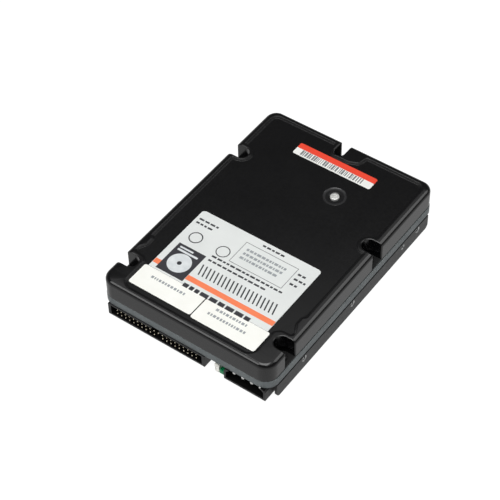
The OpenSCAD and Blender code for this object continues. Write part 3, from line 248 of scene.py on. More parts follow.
def shaded_and_dulled(slot, colour, rough, level, *regions, upward=False):
    """Paint shade into a finish inside the given boxes: darker, and duller too.

    A second call keeps the first one's colour and roughness, and takes over its specular level."""
    tree, shader = surface(FINISHES[slot])
    share = 0.0
    for low, high in regions:
        share = maths(tree, "MAXIMUM", within(tree, low, high, upward), share)
    rub = shader.inputs["Roughness"].links[0].from_socket
    tint(tree, shader, share, linear(colour))
    tree.links.new(add(tree, "Mix", {0: share, 2: rub, 3: rough}).outputs[0], shader.inputs["Roughness"])
    plain = shader.inputs["Specular IOR Level"].default_value
    tree.links.new(spread(tree, share, plain, level, 0.0, 1.0), shader.inputs["Specular IOR Level"])


def ringed(slot, centre, inner, outer, colour):
    """Give a finish another colour between two radii round a centre, with soft edges."""
    tree, shader = surface(FINISHES[slot])
    place = axes(tree)
    flat = add(tree, "CombineXYZ", {0: place[0], 1: place[1]})
    middle = (centre[0] * MM, centre[1] * MM, 0)
    far = add(tree, "VectorMath", {0: flat.outputs[0], 1: middle}, operation="DISTANCE").outputs["Value"]
    edges = [spread(tree, far, 0.0, 1.0, (r - RING_SOFT) * MM, (r + RING_SOFT) * MM) for r in (inner, outer)]
    tint(tree, shader, maths(tree, "SUBTRACT", *edges), linear(colour))


def brushed(name, colour, other, rough, along):
    """A metal drawn or brushed along one axis: fine lines 0.15 mm apart, long the way it was rubbed."""
    stretch = [1.0, 1.0, 1.0]
    stretch[along] = 0.04
    return finish(name, colour, other, 6.0, rough, [(0.15, 0.002)], metal=1.0, stretch=stretch, fine=0.3)


BAND_EDGE = 56.3  # y at which the label's red band starts


def label_with_band():
    """White label film with a red band printed along its rear half."""
    material = finish("label_film_with_red_band", "#f2f2ee", "#ebebe7", 6.0, (0.42, 0.5), [(0.4, 0.0006)])
    tree, shader = surface(material)
    past = maths(tree, "GREATER_THAN", axes(tree)["Y"], BAND_EDGE * MM)
    red = blended(tree, spread(tree, grain(tree, 5.0), 0.0, 1.0), linear("#ec4830"), linear("#e6432c"))
    tint(tree, shader, past, red)
    return material


# Every finish of the drive, named for what it is; the comments say what each gives the eye
FINISHES = {
    # Satin black powder paint on a diecast cover: faint orange peel, slightly uneven in tone
    "cover_black": finish("satin_black_paint", "#060607", "#0b0b0c", 22.0, (0.13, 0.18),
                          [(0.9, 0.003), (0.25, 0.001)], fine=1.2),
    # Black paint on the base casting: coarser grain and less gloss than the cover's
    "casting_black": finish("black_painted_casting", "#171718", "#212122", 14.0, (0.38, 0.5),
                            [(0.6, 0.008), (0.2, 0.002)], fine=0.9),
    # Moulded rubber: dull and dark, a faint bloom
    "gasket_rubber": finish("moulded_rubber", "#1c1c1e", "#2a2a2c", 5.0, (0.75, 0.9), [(0.2, 0.003)]),
    # Rolled aluminium foil tape with a grey lacquer: dull, slightly crumpled
    "tape_foil": finish("grey_foil_tape", "#646a6c", "#727879", 8.0, (0.45, 0.6),
                        [(4.0, 0.02), (0.3, 0.001)], metal=0.35, stretch=(1, 1, 0.4)),
    # Blackened steel screws: dark, with a soft gleam
    "screw_black": finish("blackened_steel", "#1a1a1b", "#2b2b2c", 2.0, (0.35, 0.5), [(0.15, 0.002)], metal=0.6),
    # Zinc plated and turned steel: bright, with fine turned lines
    "bright_steel": brushed("bright_plated_steel", "#c9cbcc", "#b4b6b8", (0.18, 0.32), 2),
    # Zinc plate with a pale bloom: light and dull
    "zinc_plate": finish("bloomed_zinc_plate", "#dededc", "#cfcfcc", 1.2, (0.42, 0.55), [(0.3, 0.004)], metal=0.6),
    # Printed polyester label stock, slightly bluish and satin
    "label_pale": finish("satin_label_film", "#e3e6e4", "#dcdfdd", 18.0, (0.38, 0.46), [(0.4, 0.0006)]),
    # White paper sticker: warm white with a fibrous surface
    "sticker_white": finish("white_paper_sticker", "#f8f8f3", "#f3f3ec", 9.0, (0.55, 0.65), [(0.15, 0.001)]),
    # White label film with a red band
    "barcode_red": label_with_band(),
    # Solder mask over glass epoxy: green, glossy, weave faintly showing
    "board_green": finish("green_solder_mask", "#0d4a2c", "#125838", 3.0, (0.25, 0.35), [(0.5, 0.002)], coat=0.3),
    # Moulded epoxy chip bodies: dull, with a fine grit
    "chip_black": finish("moulded_epoxy", "#1b1b1d", "#242426", 2.5, (0.5, 0.62), [(0.12, 0.002)]),
    # Dipped ceramic and tantalum capacitors: glossy, slightly lumpy ochre
    "capacitor_ochre": finish("dipped_capacitor_resin", "#c9922f", "#b87f22", 1.5, (0.25, 0.4), [(0.4, 0.004)]),
    # Natural nylon, slightly translucent cream
    "nylon_cream": finish("natural_nylon", "#f4f3ee", "#ebe9e1", 3.0, (0.4, 0.5), [(0.3, 0.002)]),
    # Glass filled polyester of the connector shells: satin black, fine grit
    "connector_black": finish("glass_filled_polyester", "#0c0c0d", "#151516", 4.0, (0.4, 0.55), [(0.18, 0.003)]),
    # A thin gold flash over nickel on square pins: pale, the nickel showing through
    "pin_gold": finish("gold_flashed_pin", "#e2d9c6", "#d3c8b2", 1.0, (0.34, 0.46), metal=1.0),
    # Bare metal of the cut threads: pale and bright
    "thread_metal": finish("cut_aluminium_thread", "#cfd0d0", "#babbbb", 0.6, (0.25, 0.4), metal=1.0),
    # Tin plated brass, softly dull
    "pin_tin": finish("tin_plated_pin", "#f6f6f4", "#ecece9", 1.2, (0.34, 0.46), metal=1.0),
    # Moulded polyester of the shunt: satin green
    "shunt_green": finish("green_moulded_shunt", "#05804c", "#0a8c56", 1.5, (0.35, 0.45), [(0.2, 0.002)]),
    # Turned aluminium of the motor and hub: satin, with turned lines
    "motor_aluminium": brushed("turned_aluminium", "#c3c5c8", "#b3b5b8", (0.28, 0.4), 2),
    # Ground bearing steel: nearly a mirror
    "bearing_steel": finish("ground_bearing_steel", "#cfd0d3", "#bfc0c4", 2.0, (0.1, 0.2), metal=1.0),
    # Stamped silicon steel, 0.35 mm thick: dull grey, the layers as fine lines
    "core_steel": finish("stamped_core_steel", "#7e7e82", "#6a6a6f", 1.0, (0.4, 0.55), [(0.35, 0.01)],
                         metal=1.0, stretch=(0.05, 0.05, 1)),
    # Enamelled copper wire in rows 0.25 mm apart: a reddish gleam in ridges
    "coil_copper": finish("enamelled_copper_wire", "#b9682f", "#a4551f", 1.0, (0.25, 0.4), [(0.25, 0.02)],
                          metal=0.9, stretch=(0.1, 0.1, 1)),
    # Nickel plated sintered magnets: a warm grey gleam
    "magnet_nickel": finish("nickel_plated_magnet", "#a9a8a4", "#97968f", 4.0, (0.22, 0.35), [(0.5, 0.002)],
                            metal=1.0),
    # Sputtered magnetic film on polished discs: dark mirror
    "platter_bright": finish("sputtered_disc_film", "#9b938b", "#938b84", 30.0, (0.03, 0.06), metal=1.0),
    # Machined aluminium arms: pale, with fine lines along them
    "arm_aluminium": brushed("machined_aluminium", "#b8babd", "#a9abae", (0.25, 0.38), 0),
    # Ground ceramic sliders: dark and smooth
    "slider_dark": finish("ground_ceramic", "#3a3a3e", "#46464a", 0.6, (0.15, 0.25)),
    # Filled thermoplastic of the coil frame: dull black
    "coil_plastic": finish("filled_thermoplastic", "#242426", "#2e2e31", 3.0, (0.45, 0.55), [(0.2, 0.003)]),
    # Nickel plated mild steel of the yokes: warm grey, faintly uneven
    "yoke_nickel": finish("nickel_plated_yoke", "#b9b7b0", "#a7a59d", 8.0, (0.2, 0.35), [(0.8, 0.003)], metal=1.0),
    # Soft rubber of the crash stops: dull and darker than the gasket
    "stop_rubber": finish("black_stop_rubber", "#141415", "#1e1e20", 2.0, (0.7, 0.85), [(0.2, 0.004)]),
    # Polyimide film over etched copper: glossy amber
    "flex_amber": finish("polyimide_film", "#b5701c", "#a56113", 2.0, (0.2, 0.3), [(0.6, 0.003)], coat=0.4),
    # Needled filter felt: matt white fuzz
    "filter_white": finish("needled_felt", "#e6e6e0", "#d9d9d2", 0.8, (0.85, 0.95), [(0.25, 0.03)], sheen=0.2),
    # Printing inks on the labels: flat and satin
    "ink_orange": finish("orange_ink", "#f6855a", "#f28055", 10.0, (0.4, 0.48)),
    "ink_dark": finish("dark_ink", "#333338", "#2b2b30", 8.0, (0.35, 0.45)),
    "ink_bar": finish("thermal_print", "#6a6c6e", "#7c7e80", 1.2, (0.45, 0.55)),
    "ink_grey": finish("grey_ink", "#8e9496", "#a3a8aa", 1.5, (0.45, 0.55)),
    "ink_pale": finish("pale_ink", "#dfe3e4", "#cfd4d6", 3.0, (0.4, 0.5)),
    # Tin-lead solder, bright and a little uneven
    "solder": finish("tin_lead_solder", "#c3c4c6", "#aeb0b3", 0.8, (0.2, 0.35), metal=1.0),
}

# Boxes, from their low to their high corner, in which shade is painted into a finish
NOTCH_FLOORS = (None, None, FLOOR - 0.2), (None, None, FLOOR + 0.2)
BACK_NOTCH = (-6.4, 62.2, 14.0), (-0.3, 71.8, 24.8)
DATA_MOUTH = (-45.4, -72.9, 2.2), (11.9, None, 8.4)
POWER_MOUTH = (24.9, -72.9, 2.2), (47.3, None, 9.0)
PIN_ROOTS = (None, -72.3, None), (None, -66.0, None)

# Painted shade: near black and dead matt on the notches' floors and inside the narrow notch at the back
shaded_and_dulled("cover_black", "#020202", 0.9, 0.05, NOTCH_FLOORS, upward=True)
shaded_and_dulled("cover_black", "#020202", 0.9, 0.05, BACK_NOTCH)
# Painted sheen: paler in two rings round the pivot's dish
ringed("cover_black", PIVOT, 2.9, 4.7, "#151516")
ringed("cover_black", PIVOT, 4.8, 6.1, "#2a2a2b")
# Painted shade: darker and duller inside the sockets' mouths
shaded_and_dulled("connector_black", "#040404", 0.8, 0.1, DATA_MOUTH, POWER_MOUTH)
# Painted shade: darker behind the data pins' tips, and on the front of the jumper pins
shaded_and_dulled("pin_gold", "#3a372f", 0.55, 0.5, PIN_ROOTS)

for node_name, node_object in frame["nodes"].items():
    paint = FINISHES[SLOTS[node_name]]
    if node_object.material_slots:
        for place in node_object.material_slots:
            place.material = paint
    else:
        node_object.data.materials.append(paint)


# ---------------- making pieces

MERGE, COLLAPSE = 2e-6, 1e-7  # metres within which points are merged and edges dissolved
SOFT_ANGLE = 40.0  # degrees above which an edge is rounded over


def piece(name, points, faces, slot, body="case", sharp=35.0, stands_for=(), weighted=False):
    """A piece from points in mm and arrays of faces; doubles merged, faces turned outwards."""
    mesh = bpy.data.meshes.new(name)
    mesh.from_pydata((np.asarray(points, float) * MM).tolist(), [], [f for a in faces for f in np.asarray(a).tolist()])
    return settle(name, mesh, slot, body, sharp, stands_for, weighted)


def opened(mesh):
    """A mesh to be worked on, its doubles merged."""
    work = bmesh.new()
    work.from_mesh(mesh)
    bmesh.ops.remove_doubles(work, verts=work.verts, dist=MERGE)
    return work


def settle(name, mesh, slot, body, sharp, stands_for, weighted=False):
    """Clean a mesh, give it its finish and let it ride on its body."""
    work = opened(mesh)
    bmesh.ops.dissolve_degenerate(work, edges=work.edges, dist=COLLAPSE)
    bmesh.ops.recalc_face_normals(work, faces=work.faces)
    work.to_mesh(mesh)
    work.free()
    mesh.polygons.foreach_set("use_smooth", np.ones(len(mesh.polygons), bool))
    mesh.set_sharp_from_angle(angle=math.radians(sharp))
    made = placed(name, mesh)
    mesh.materials.clear()
    mesh.materials.append(FINISHES[slot])
    if weighted:
        made.modifiers.new("even_shading", "WEIGHTED_NORMAL").keep_sharp = True
    if body:
        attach(made, body)
    if stands_for:
        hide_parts(*stands_for)
    return made


def softened(node, width):
    """A copy of a CAD part with its edges rounded over by width mm."""
    mesh = frame["nodes"][node].data.copy()
    mesh.name = node + "_finished"
    work = opened(mesh)
    bmesh.ops.dissolve_limit(work, angle_limit=math.radians(1.0), verts=work.verts, edges=work.edges,
                             delimit={"NORMAL"})
    work.to_mesh(mesh)
    work.free()
    body = next(b for b, nodes in frame["record"]["behaviour"]["bodies"].items() if node in nodes)
    made = settle(mesh.name, mesh, SLOTS[node], body, SOFT_ANGLE, [node])
    edge = made.modifiers.new("rounded_edges", "BEVEL")
    edge.width, edge.segments, edge.limit_method = width * MM, 2, "ANGLE"
    edge.angle_limit, edge.use_clamp_overlap = math.radians(SOFT_ANGLE), True
    edge.harden_normals = False
    made.modifiers.new("even_shading", "WEIGHTED_NORMAL").keep_sharp = False
    return made


QUARTER = 1.5708  # a quarter turn
LEAST_RADIUS = 0.04  # to which a corner can shrink
LEAST_SIDE = 0.4  # sides shorter than this get no points between their corners


def outline(corners, drawn_in):
    """A closed outline, anticlockwise, with rounded corners, each side drawn in by its own share.

    A corner is (x, y, radius, share of the side after it, group of its arc, group of that side).
    Each side moves inwards by drawn_in times its share; two neighbours meet in the new corner. An
    outward corner's radius shrinks by the distance and an inward one's grows. Arcs get more points the
    larger they are, and sides get points closer together near their ends. Returns points and groups."""
    c = np.array(corners, float)
    p, r, k = c[:, :2], c[:, 2], c[:, 3]
    along = np.roll(p, -1, 0) - p
    length = np.linalg.norm(along, axis=1)
    u = along / length[:, None]
    n = np.stack([-u[:, 1], u[:, 0]], 1)
    d = drawn_in * k
    before = np.roll(np.arange(len(c)), 1)
    cross = u[before, 0] * u[:, 1] - u[before, 1] * u[:, 0]
    dot = (u[before] * u).sum(1)
    rhs0, rhs1 = (n[before] * p).sum(1) + d[before], (n * p).sum(1) + d
    det = n[before, 0] * n[:, 1] - n[before, 1] * n[:, 0]
    spot = np.stack([(rhs0 * n[:, 1] - rhs1 * n[before, 1]) / det,
                     (rhs1 * n[before, 0] - rhs0 * n[:, 0]) / det], 1)
    side = np.sign(cross)
    turn = np.arctan2(cross, dot)
    mean = (d + d[before]) / 2
    radius = np.maximum(np.where(side > 0, r - mean, r + mean), LEAST_RADIUS)
    reach = radius * np.tan(np.abs(turn) / 2)
    first, last = spot - u[before] * reach[:, None], spot + u * reach[:, None]
    centre = first + n[before] * (radius * side)[:, None]
    points, groups = [], []
    for i in range(len(c)):
        steps = max(3, int((5 + 2.2 * r[i]) * abs(turn[i]) / QUARTER))
        a0 = math.atan2(*(first[i] - centre[i])[::-1])
        a = a0 + turn[i] * np.linspace(0, 1, steps + 1)
        points.append(centre[i] + radius[i] * np.stack([np.cos(a), np.sin(a)], 1))
        groups.append(np.full(steps + 1, c[i, 4]))
        nxt = (i + 1) % len(c)
        free = length[i] - r[i] * math.tan(abs(turn[i]) / 2) - r[nxt] * math.tan(abs(turn[nxt]) / 2)
        count = int(4 + free * 0.9) if free > LEAST_SIDE else 0
        t = (0.5 - 0.5 * np.cos(np.pi * np.arange(1, count + 1) / (count + 1)))[:, None]
        points.append(last[i] * (1 - t) + first[nxt] * t)
        groups.append(np.full(count, c[i, 5]))
    return np.concatenate(points), np.concatenate(groups)


def strip(m, n):
    """Faces between m rings of n points each, which lie one after another."""
    i, j = np.meshgrid(np.arange(m - 1), np.arange(n), indexing="ij")
    a, b = i * n + j, i * n + (j + 1) % n
    return np.stack([a, b, b + n, a + n], -1).reshape(-1, 4)


def inside(points, loops):
    """True where a point lies within an odd number of the loops."""
    odd = np.zeros(len(points), bool)
    for loop in loops:
        a, b = loop, np.roll(loop, -1, 0)
        x, y = points[:, :1], points[:, 1:]
        spans = (a[:, 1] > y) != (b[:, 1] > y)
        with np.errstate(divide="ignore", invalid="ignore"):
            crossing = a[:, 0] + (y - a[:, 1]) * (b[:, 0] - a[:, 0]) / (b[:, 1] - a[:, 1])
        odd ^= ((spans & (x < crossing)).sum(1) % 2).astype(bool)
    return odd


def filled(loops, height):
    """A flat fill between loops in plan, its height a number or a function of the points."""
    flat = np.concatenate(loops)
    starts = np.cumsum([0] + [len(a) for a in loops])
    edges = [(int(s + i), int(s + (i + 1) % len(a))) for s, a in zip(starts, loops) for i in range(len(a))]
    out = delaunay_2d_cdt([Vector(v) for v in flat.tolist()], edges, [], 0, 1e-5, False)
    points, tris = np.array([tuple(v) for v in out[0]]), np.array([tuple(f) for f in out[2]])
    keep = inside(points[tris].mean(1), loops)
    z = height(points) if callable(height) else np.full(len(points), float(height))
    return np.column_stack([points, z]), tris[keep]


class Build:
    """Points and faces gathered for one piece."""

    def __init__(self):
        self.points, self.faces, self.count = [], [], 0

    def add(self, points, faces):
        """Points with faces that count from the first of them."""
        points = np.asarray(points, float).reshape(-1, 3)
        self.points.append(points)
        self.faces.append(np.asarray(faces) + self.count)
        self.count += len(points)

    def rings(self, rings):
        """Rings of equal numbers of points, joined one after another."""
        rings = [np.asarray(r, float) for r in rings]
        self.add(np.concatenate(rings), strip(len(rings), len(rings[0])))

    def bar(self, rings):
        """The same, closed at both ends."""
        self.rings(rings)
        for end in (rings[0], rings[-1]):
            self.add(end, np.arange(len(end))[None])

    def make(self, name, slot, **settings):
        """The piece of all that was gathered."""
        return piece(name, np.concatenate(self.points), self.faces, slot, **settings)


def at(flat, z):
    """Plan points at one height or at their own heights."""
    return np.column_stack([flat, np.broadcast_to(z, len(flat))])


def heading(path):
    """The unit way along a path at each of its points."""
    way = np.gradient(path, axis=0)
    return way / np.linalg.norm(way, axis=1)[:, None]


def angles(n):
    """n angles round a full turn."""
    return np.arange(n) * 2 * np.pi / n


def circle(x, y, r, n=64):
    """A circle in plan."""
    a = angles(n)
    return np.stack([x + r * np.cos(a), y + r * np.sin(a)], 1)


# ---------------- cover

def cover_corners():
    """The cover's outline with its five screw notches, which are groups 1 to 5."""
    def mouth(n, group, beside):
        """A notch's four corners; beside is the share of the side after it."""
        x, y, way, r = n
        turn = math.radians(way)
        out, side = np.array([math.cos(turn), math.sin(turn)]), np.array([-math.sin(turn), math.cos(turn)])
        c = np.array([x, y])
        edge = {0: SIDE - x, 90: BACK - y, 180: SIDE + x}[way]
        spots = [c + out * edge - side * r, c - out * r - side * r, c - out * r + side * r, c + out * edge + side * r]
        radii, shares, groups = (MOUTH_R, r, r, MOUTH_R), (LIP, LIP, LIP, beside), (group, group, group, 0)
        return [(*s, q, k, group, g) for s, q, k, g in zip(spots, radii, shares, groups)]
    side, front, back = (SHARES[w] for w in ("side", "front", "back"))
    row = [(*RECTANGLE[0], front, 0, 0), (*RECTANGLE[1], side, 0, 0)]
    row += mouth(NOTCHES[0], 1, side) + mouth(NOTCHES[1], 2, side) + [(*RECTANGLE[2], back, 0, 0)]
    row += mouth(NOTCHES[2], 3, back) + [(*RECTANGLE[3], side, 0, 0)]
    row += mouth(NOTCHES[3], 4, side) + mouth(NOTCHES[4], 5, side)
    return row


def panel_corners():
    """The sunk panel: wide behind, narrow between the front notches, with an ear behind each of those."""
    ears = [(38.6, -69.9, 5), (38.6, -52.0, 1.2), (41.2, -49.7, 3), (47.1, -49.4, 1.6), (47.1, -46.6, 3),
            (44.6, -42.2, 4), (44.6, -37.6, 1.6), (46.2, -36.2, 1.2)]
    right = [(46.2, 13.8, 0.9), (39.9, 13.8, 5.5), (39.9, 24.8, 5.5), (46.2, 24.8, 0.9), (46.2, 69.2, 4.0),
             (11.2, 69.2, 0.9), (10.4, 63.8, 3.5), (4.5, 61.5, 6), (-7.5, 61.5, 4.5), (-7.5, 69.2, 0.9)]
    left = [(-46.2, 69.2, 4.0), (-46.2, 41.9, 0.9), (-38.8, 41.9, 5.5), (-38.8, 30.9, 5.5), (-46.2, 30.9, 0.9)]
    row = [(-38.6, -69.9, 5)] + ears + right + left + [(-x, y, q) for x, y, q in ears[:0:-1]]
    return [(x, y, q, 1, 0, 0) for x, y, q in row]


def top_height(p):
    """Height of the cover's top: rounded down along its outline, with a small lip at each notch.

    depth runs from 0 at the outline to 1 where the rounding ends; in a corner its width is a blend of
    the two sides' by the squares of the way out. The rounding is a quarter of an ellipse RISE high."""
    x, y = np.abs(p[:, 0]), p[:, 1] - (BACK + FRONT) / 2
    rear = y > 0
    corner = np.where(rear, CORNERS[1], CORNERS[-1])
    q = np.stack([x - SIDE + corner, np.abs(y) - (BACK - FRONT) / 2 + corner], 1)
    out = np.maximum(q, 0)
    far = np.linalg.norm(out, axis=1)
    wide = np.where(far > 1e-9, (out[:, 0] / np.maximum(far, 1e-9)) ** 2, q[:, 0] > q[:, 1])
    width = wide * WIDTHS["side"] + (1 - wide) * np.where(rear, WIDTHS["back"], WIDTHS["front"])
    depth = np.clip((corner - far - np.minimum(q.max(1), 0)) / width, 0, 1)
    z = TOP - RISE + RISE * np.sqrt(1 - (1 - depth) ** 2)
    near = np.full(len(p), 9.0)
    for x, y, way, r in NOTCHES:
        turn = math.radians(way)
        u = (p[:, 0] - x) * math.cos(turn) + (p[:, 1] - y) * math.sin(turn)
        v = -(p[:, 0] - x) * math.sin(turn) + (p[:, 1] - y) * math.cos(turn)
        near = np.minimum(near, np.where(u > 0, np.abs(v), np.hypot(u, v)) - r)
    lip = 1 - np.clip(near / LIP_WIDE, 0, 1)
    return z - LIP_DEEP * (1 - np.sqrt(1 - lip ** 2))


# The step down to the sunk panel: how far in from its outline, and how far below the top
STEP = [(-0.7, 0), (-0.62, 0.0), (-0.55, 0.01), (-0.5, 0.03), (-0.46, 0.08), (-0.44, 0.15), (-0.41, 0.21),
        (-0.36, 0.24), (-0.28, 0.25), (0.35, 0.26), (0.48, 0.27), (0.56, 0.3), (0.6, 0.36), (0.63, 0.5),
        (0.66, 0.62), (0.71, 0.67), (0.8, 0.69), (1.0, 0.7)]
# The dish for the pivot's screw: radius, and depth below the panel
DISH = [(6.35, 0), (6.2, 0.03), (6.05, 0.12), (5.8, 0.2), (5.4, 0.25), (3.3, 0.25), (3.15, 0.3), (3.05, 0.42),
        (3.05, 0.8), (1.5, 0.8), (0.02, 0.8)]
WALL = [(0, FLOOR), (0, 13.8), (0.03, 13.66), (0.1, 13.55), (0.2, GROOVE), (GROOVE_IN + 0.02, GROOVE),
        (GROOVE_IN + 0.02, RIM)]  # the wall down into the groove: how far in, and height
SKIN = 1.5  # thickness of the cover's wall
# The tape: how far inside the outline in front and behind, how far outside it at the sides, and height
TAPE = [(0.3, 0.2, 9.1), (0.12, 0.36, 9.1), (0.1, 0.4, 9.16), (0.1, 0.4, 11.0), (0.1, 0.4, 13.12), (0.11, 0.37, 13.3),
        (0.14, 0.28, 13.4), (0.2, 0.14, 13.44), (0.26, 0.01, 13.45), (0.3, 0.01, 13.42), (0.3, 0.2, 9.1)]


def belt(ends, sides, drawn_in):
    """The plain outline without notches, its ends and its sides drawn in by their own shares."""
    return outline([(*c, k, 0, 0) for c, k in zip(RECTANGLE, (ends, sides, ends, sides))], drawn_in)[0]


def make_cover():
    """The cover as one closed shell: rounded top, notches, groove and skirt, sunk panel, room inside."""
    work = Build()
    outer = cover_corners()
    theta = np.radians([0, 7, 15, 24, 33, 43, 54, 66, 78])
    rows = [outline(outer, RISE * (1 - math.cos(t)))[0] for t in theta]
    rim, group = outline(outer, 0.0)
    work.rings([at(r, top_height(r)) for r in rows])
    work.rings([at(rim, top_height(rim)), at(rim, FLOOR)])
    panel = panel_corners()
    edge = outline(panel, STEP[0][0])[0]
    work.add(*filled([rows[-1], edge], top_height))
    work.rings([at(outline(panel, d)[0], top_height(edge) - fall) for d, fall in STEP])
    work.add(*filled([outline(panel, STEP[-1][0])[0], circle(*PIVOT, DISH[0][0])], PANEL))
    work.rings([at(circle(*PIVOT, r), PANEL - fall) for r, fall in DISH])
    work.add(*filled([circle(*PIVOT, DISH[-1][0])], PANEL - DISH[-1][1]))
    # Notch floors, then the wall below them, which runs straight past the notches
    stay = group == 0
    for g in range(1, len(NOTCHES) + 1):
        own = np.flatnonzero(group == g)
        work.add(*filled([rim[own]], FLOOR))
        stay[[own[0], own[-1]]] = True
    straight = [(*c[:3], 1 if c[3] in (SHARES["front"], SHARES["back"]) else 0.05, 0, 0) for c in outer]
    low = [at(outline(straight, d)[0][stay], z) for d, z in WALL]
    work.rings(low)
    # The lower rim stands out past the wall at the sides, as far as the casting below it
    lower = belt(1, -STAND, GROOVE_IN)
    work.add(*filled([lower, low[-1][:, :2]], RIM))
    work.rings([at(lower, RIM), at(lower, BOTTOM)])
    inner = outline([(*c[:3], 1, 0, 0) for c in outer], SKIN)[0]
    work.add(*filled([lower, inner], BOTTOM))
    work.rings([at(inner, BOTTOM), at(inner, ROOF)])
    work.add(*filled([inner], ROOF))
    work.make("cover_shell", "cover_black", stands_for=["top_cover"], weighted=True)


def make_band():
    """The seal tape: flat round the casting, its upper edge turned in over the cover's rim at the sides."""
    work = Build()
    work.rings([at(belt(inwards, -out, 1.0), z) for inwards, out, z in TAPE])
    work.make("tape_band", "tape_foil", stands_for=["seal_tape"], weighted=True)


make_cover()
make_band()


# ---------------- case, connectors

def widen_holes(mesh):
    """Move the outer edges of the side holes outwards, to leave room for their countersinks."""
    points = np.empty(len(mesh.vertices) * 3)
    mesh.vertices.foreach_get("co", points)
    points = points.reshape(-1, 3)
    for y, z, r in SIDE_HOLES:
        away = points[:, 1:] - np.array([y, z]) * MM
        far = np.linalg.norm(away, axis=1) / MM
        edge = (np.abs(np.abs(points[:, 0]) / MM - CASE_SIDE) < 0.02) & (np.abs(far - r) < 0.05)
        points[edge, 1:] += away[edge] / far[edge, None] / MM * (SINK * MM)
    mesh.vertices.foreach_set("co", points.ravel())
    mesh.update()


widen_holes(softened("base_casting", 0.35).data)
softened("ide_connector_shell", 0.18)
softened("power_connector_shell", 0.2)
softened("jumper_header", 0.12)
softened("jumper_shunt", 0.2)


def swept(path, half, round_):
    """A bar whose section has its own half width at each point of the path: rings square to the path.

    The section is a circle, or a square that stands on its flats."""
    path, half = np.array(path, float), np.array(half, float)
    across = np.array([1.0, 0, 0])
    up = np.cross(across, heading(path))
    up /= np.linalg.norm(up, axis=1)[:, None]
    a = angles(20) if round_ else angles(4) + np.pi / 4
    k = 1 if round_ else math.sqrt(2)
    section = np.cos(a)[None, :, None] * across + np.sin(a)[None, :, None] * up[:, None]
    return path[:, None] + half[:, None, None] * k * section


def pin_set(name, node, slot, spots, tip_y, round_=False, half=0.32):
    """Bent pins: a tapered tip, a straight run back, a bend up and a leg through the board.

    spots holds x, the pin's height and its leg's place; every pin is the same path moved and stretched."""
    work = Build()
    tip = [0.45, 0.72, 0.9, 0.99, 1.0, 1.0] if round_ else [0.6, 0.8, 0.92, 1.0, 1.0, 1.0]
    bend = 2.2 * half
    arc = bend - half
    turn = np.radians(np.linspace(0, 90, 6))[1:]
    for height, leg in sorted({(z, l) for _, z, l in spots}):
        xs = np.array([x for x, z, l in spots if (z, l) == (height, leg)])
        ys = [tip_y, tip_y + 0.12, tip_y + 0.35, tip_y + 0.9, tip_y + 1.2, leg - bend + half]
        ys += list(leg - arc + arc * np.sin(turn)) + [leg] * 3
        zs = [height] * 6 + list(height + arc - arc * np.cos(turn)) + LEG_TOP
        widths = tip + [1.0] * 5 + [1.0, 0.9, 0.4]
        one = swept(np.column_stack([np.zeros(len(ys)), ys, zs]), half * np.array(widths), round_)
        for x in xs:
            work.bar(one + [x, 0, 0])
    work.make(name, slot, sharp=30 if round_ else 50, stands_for=[node])


pin_set("data_pins", "ide_pins", "pin_gold", [(x, DATA_ROWS[0], LEGS[0]) for x in COLUMNS] +
        [(x, DATA_ROWS[1], LEGS[1]) for i, x in enumerate(COLUMNS) if i != MISSING], DATA_TIP)
pin_set("power_socket_pins", "power_pins", "pin_tin", [(x, POWER_ROW, POWER_LEG) for x in POWER_X],
        POWER_TIP, True, POWER_HALF)
pin_set("jumper_block_pins", "jumper_pins", "pin_gold",
        [(JUMPER_X + k * PITCH, z, leg) for k in (-0.5, 0.5) for z, leg in zip(JUMPER_ROWS, LEGS)], JUMPER_TIP)

TAPPED_R = 1.3  # side holes wider than this have a thread
THREAD_PITCH, THREAD_WAVE = 0.794, 0.09


def make_threads():
    """The side holes' bare metal: a countersink, then the cut thread, whose wall waves in and out."""
    work = Build()
    a = angles(40)
    for side in (-1, 1):
        for y, z, r in SIDE_HOLES:
            tapped = r > TAPPED_R
            depth = np.linspace(SINK, 4.9 if tapped else 1.45, 46)
            wave = THREAD_WAVE * (1 - np.cos(2 * np.pi * depth / THREAD_PITCH)) / 2 if tapped else 0 * depth
            shape = [(0.04, r + SINK), (0.1, r + SINK - 0.03), (SINK - 0.05, r + 0.02)]
            shape += list(zip(depth, r - 0.01 - wave)) + ([(4.95, 0.02)] if tapped else [])
            rows = [np.stack([np.full(len(a), side * (CASE_SIDE - d)), y + q * np.cos(a), z + q * np.sin(a)], 1)
                    for d, q in shape]
            work.rings(rows)
            if tapped:
                work.add(rows[-1], np.arange(len(a))[None])
    work.make("side_hole_threads", "thread_metal")


def screw(work, x, y, seat, head, drive, shank):
    """A socket screw turned about its axis; the drive's rings have six lobes, the rest are round.

    head is its radius and height, drive its radius and depth, and shank its radius and its end's height."""
    (head_r, head_h), (drive_r, drive_depth), (shank_r, shank_end) = head, drive, shank
    rim = head_h * 0.35
    rows = [(0.0, shank_end, 0), (shank_r * 0.7, shank_end, 0), (shank_r, shank_end + 0.3, 0), (shank_r, seat, 0),
            (head_r, seat, 0), (head_r, seat + (head_h - rim), 0), (head_r * 0.97, seat + (head_h - rim * 0.55), 0),
            (head_r * 0.9, seat + (head_h - rim * 0.2), 0), (head_r * 0.78, seat + head_h, 0),
            (drive_r * 1.12, seat + head_h, 1), (drive_r, seat + (head_h - 0.08), 1),
            (drive_r, seat + (head_h - drive_depth), 1), (0.0, seat + (head_h - drive_depth - 0.15), 1)]
    a = angles(48)
    r, z, lobed = (np.array(v, float)[:, None] for v in zip(*rows))
    r = r * (1 + 0.13 * lobed * np.cos(6 * a))
    work.rings(list(np.stack([x + r * np.cos(a), y + r * np.sin(a), np.broadcast_to(z, r.shape)], -1)))


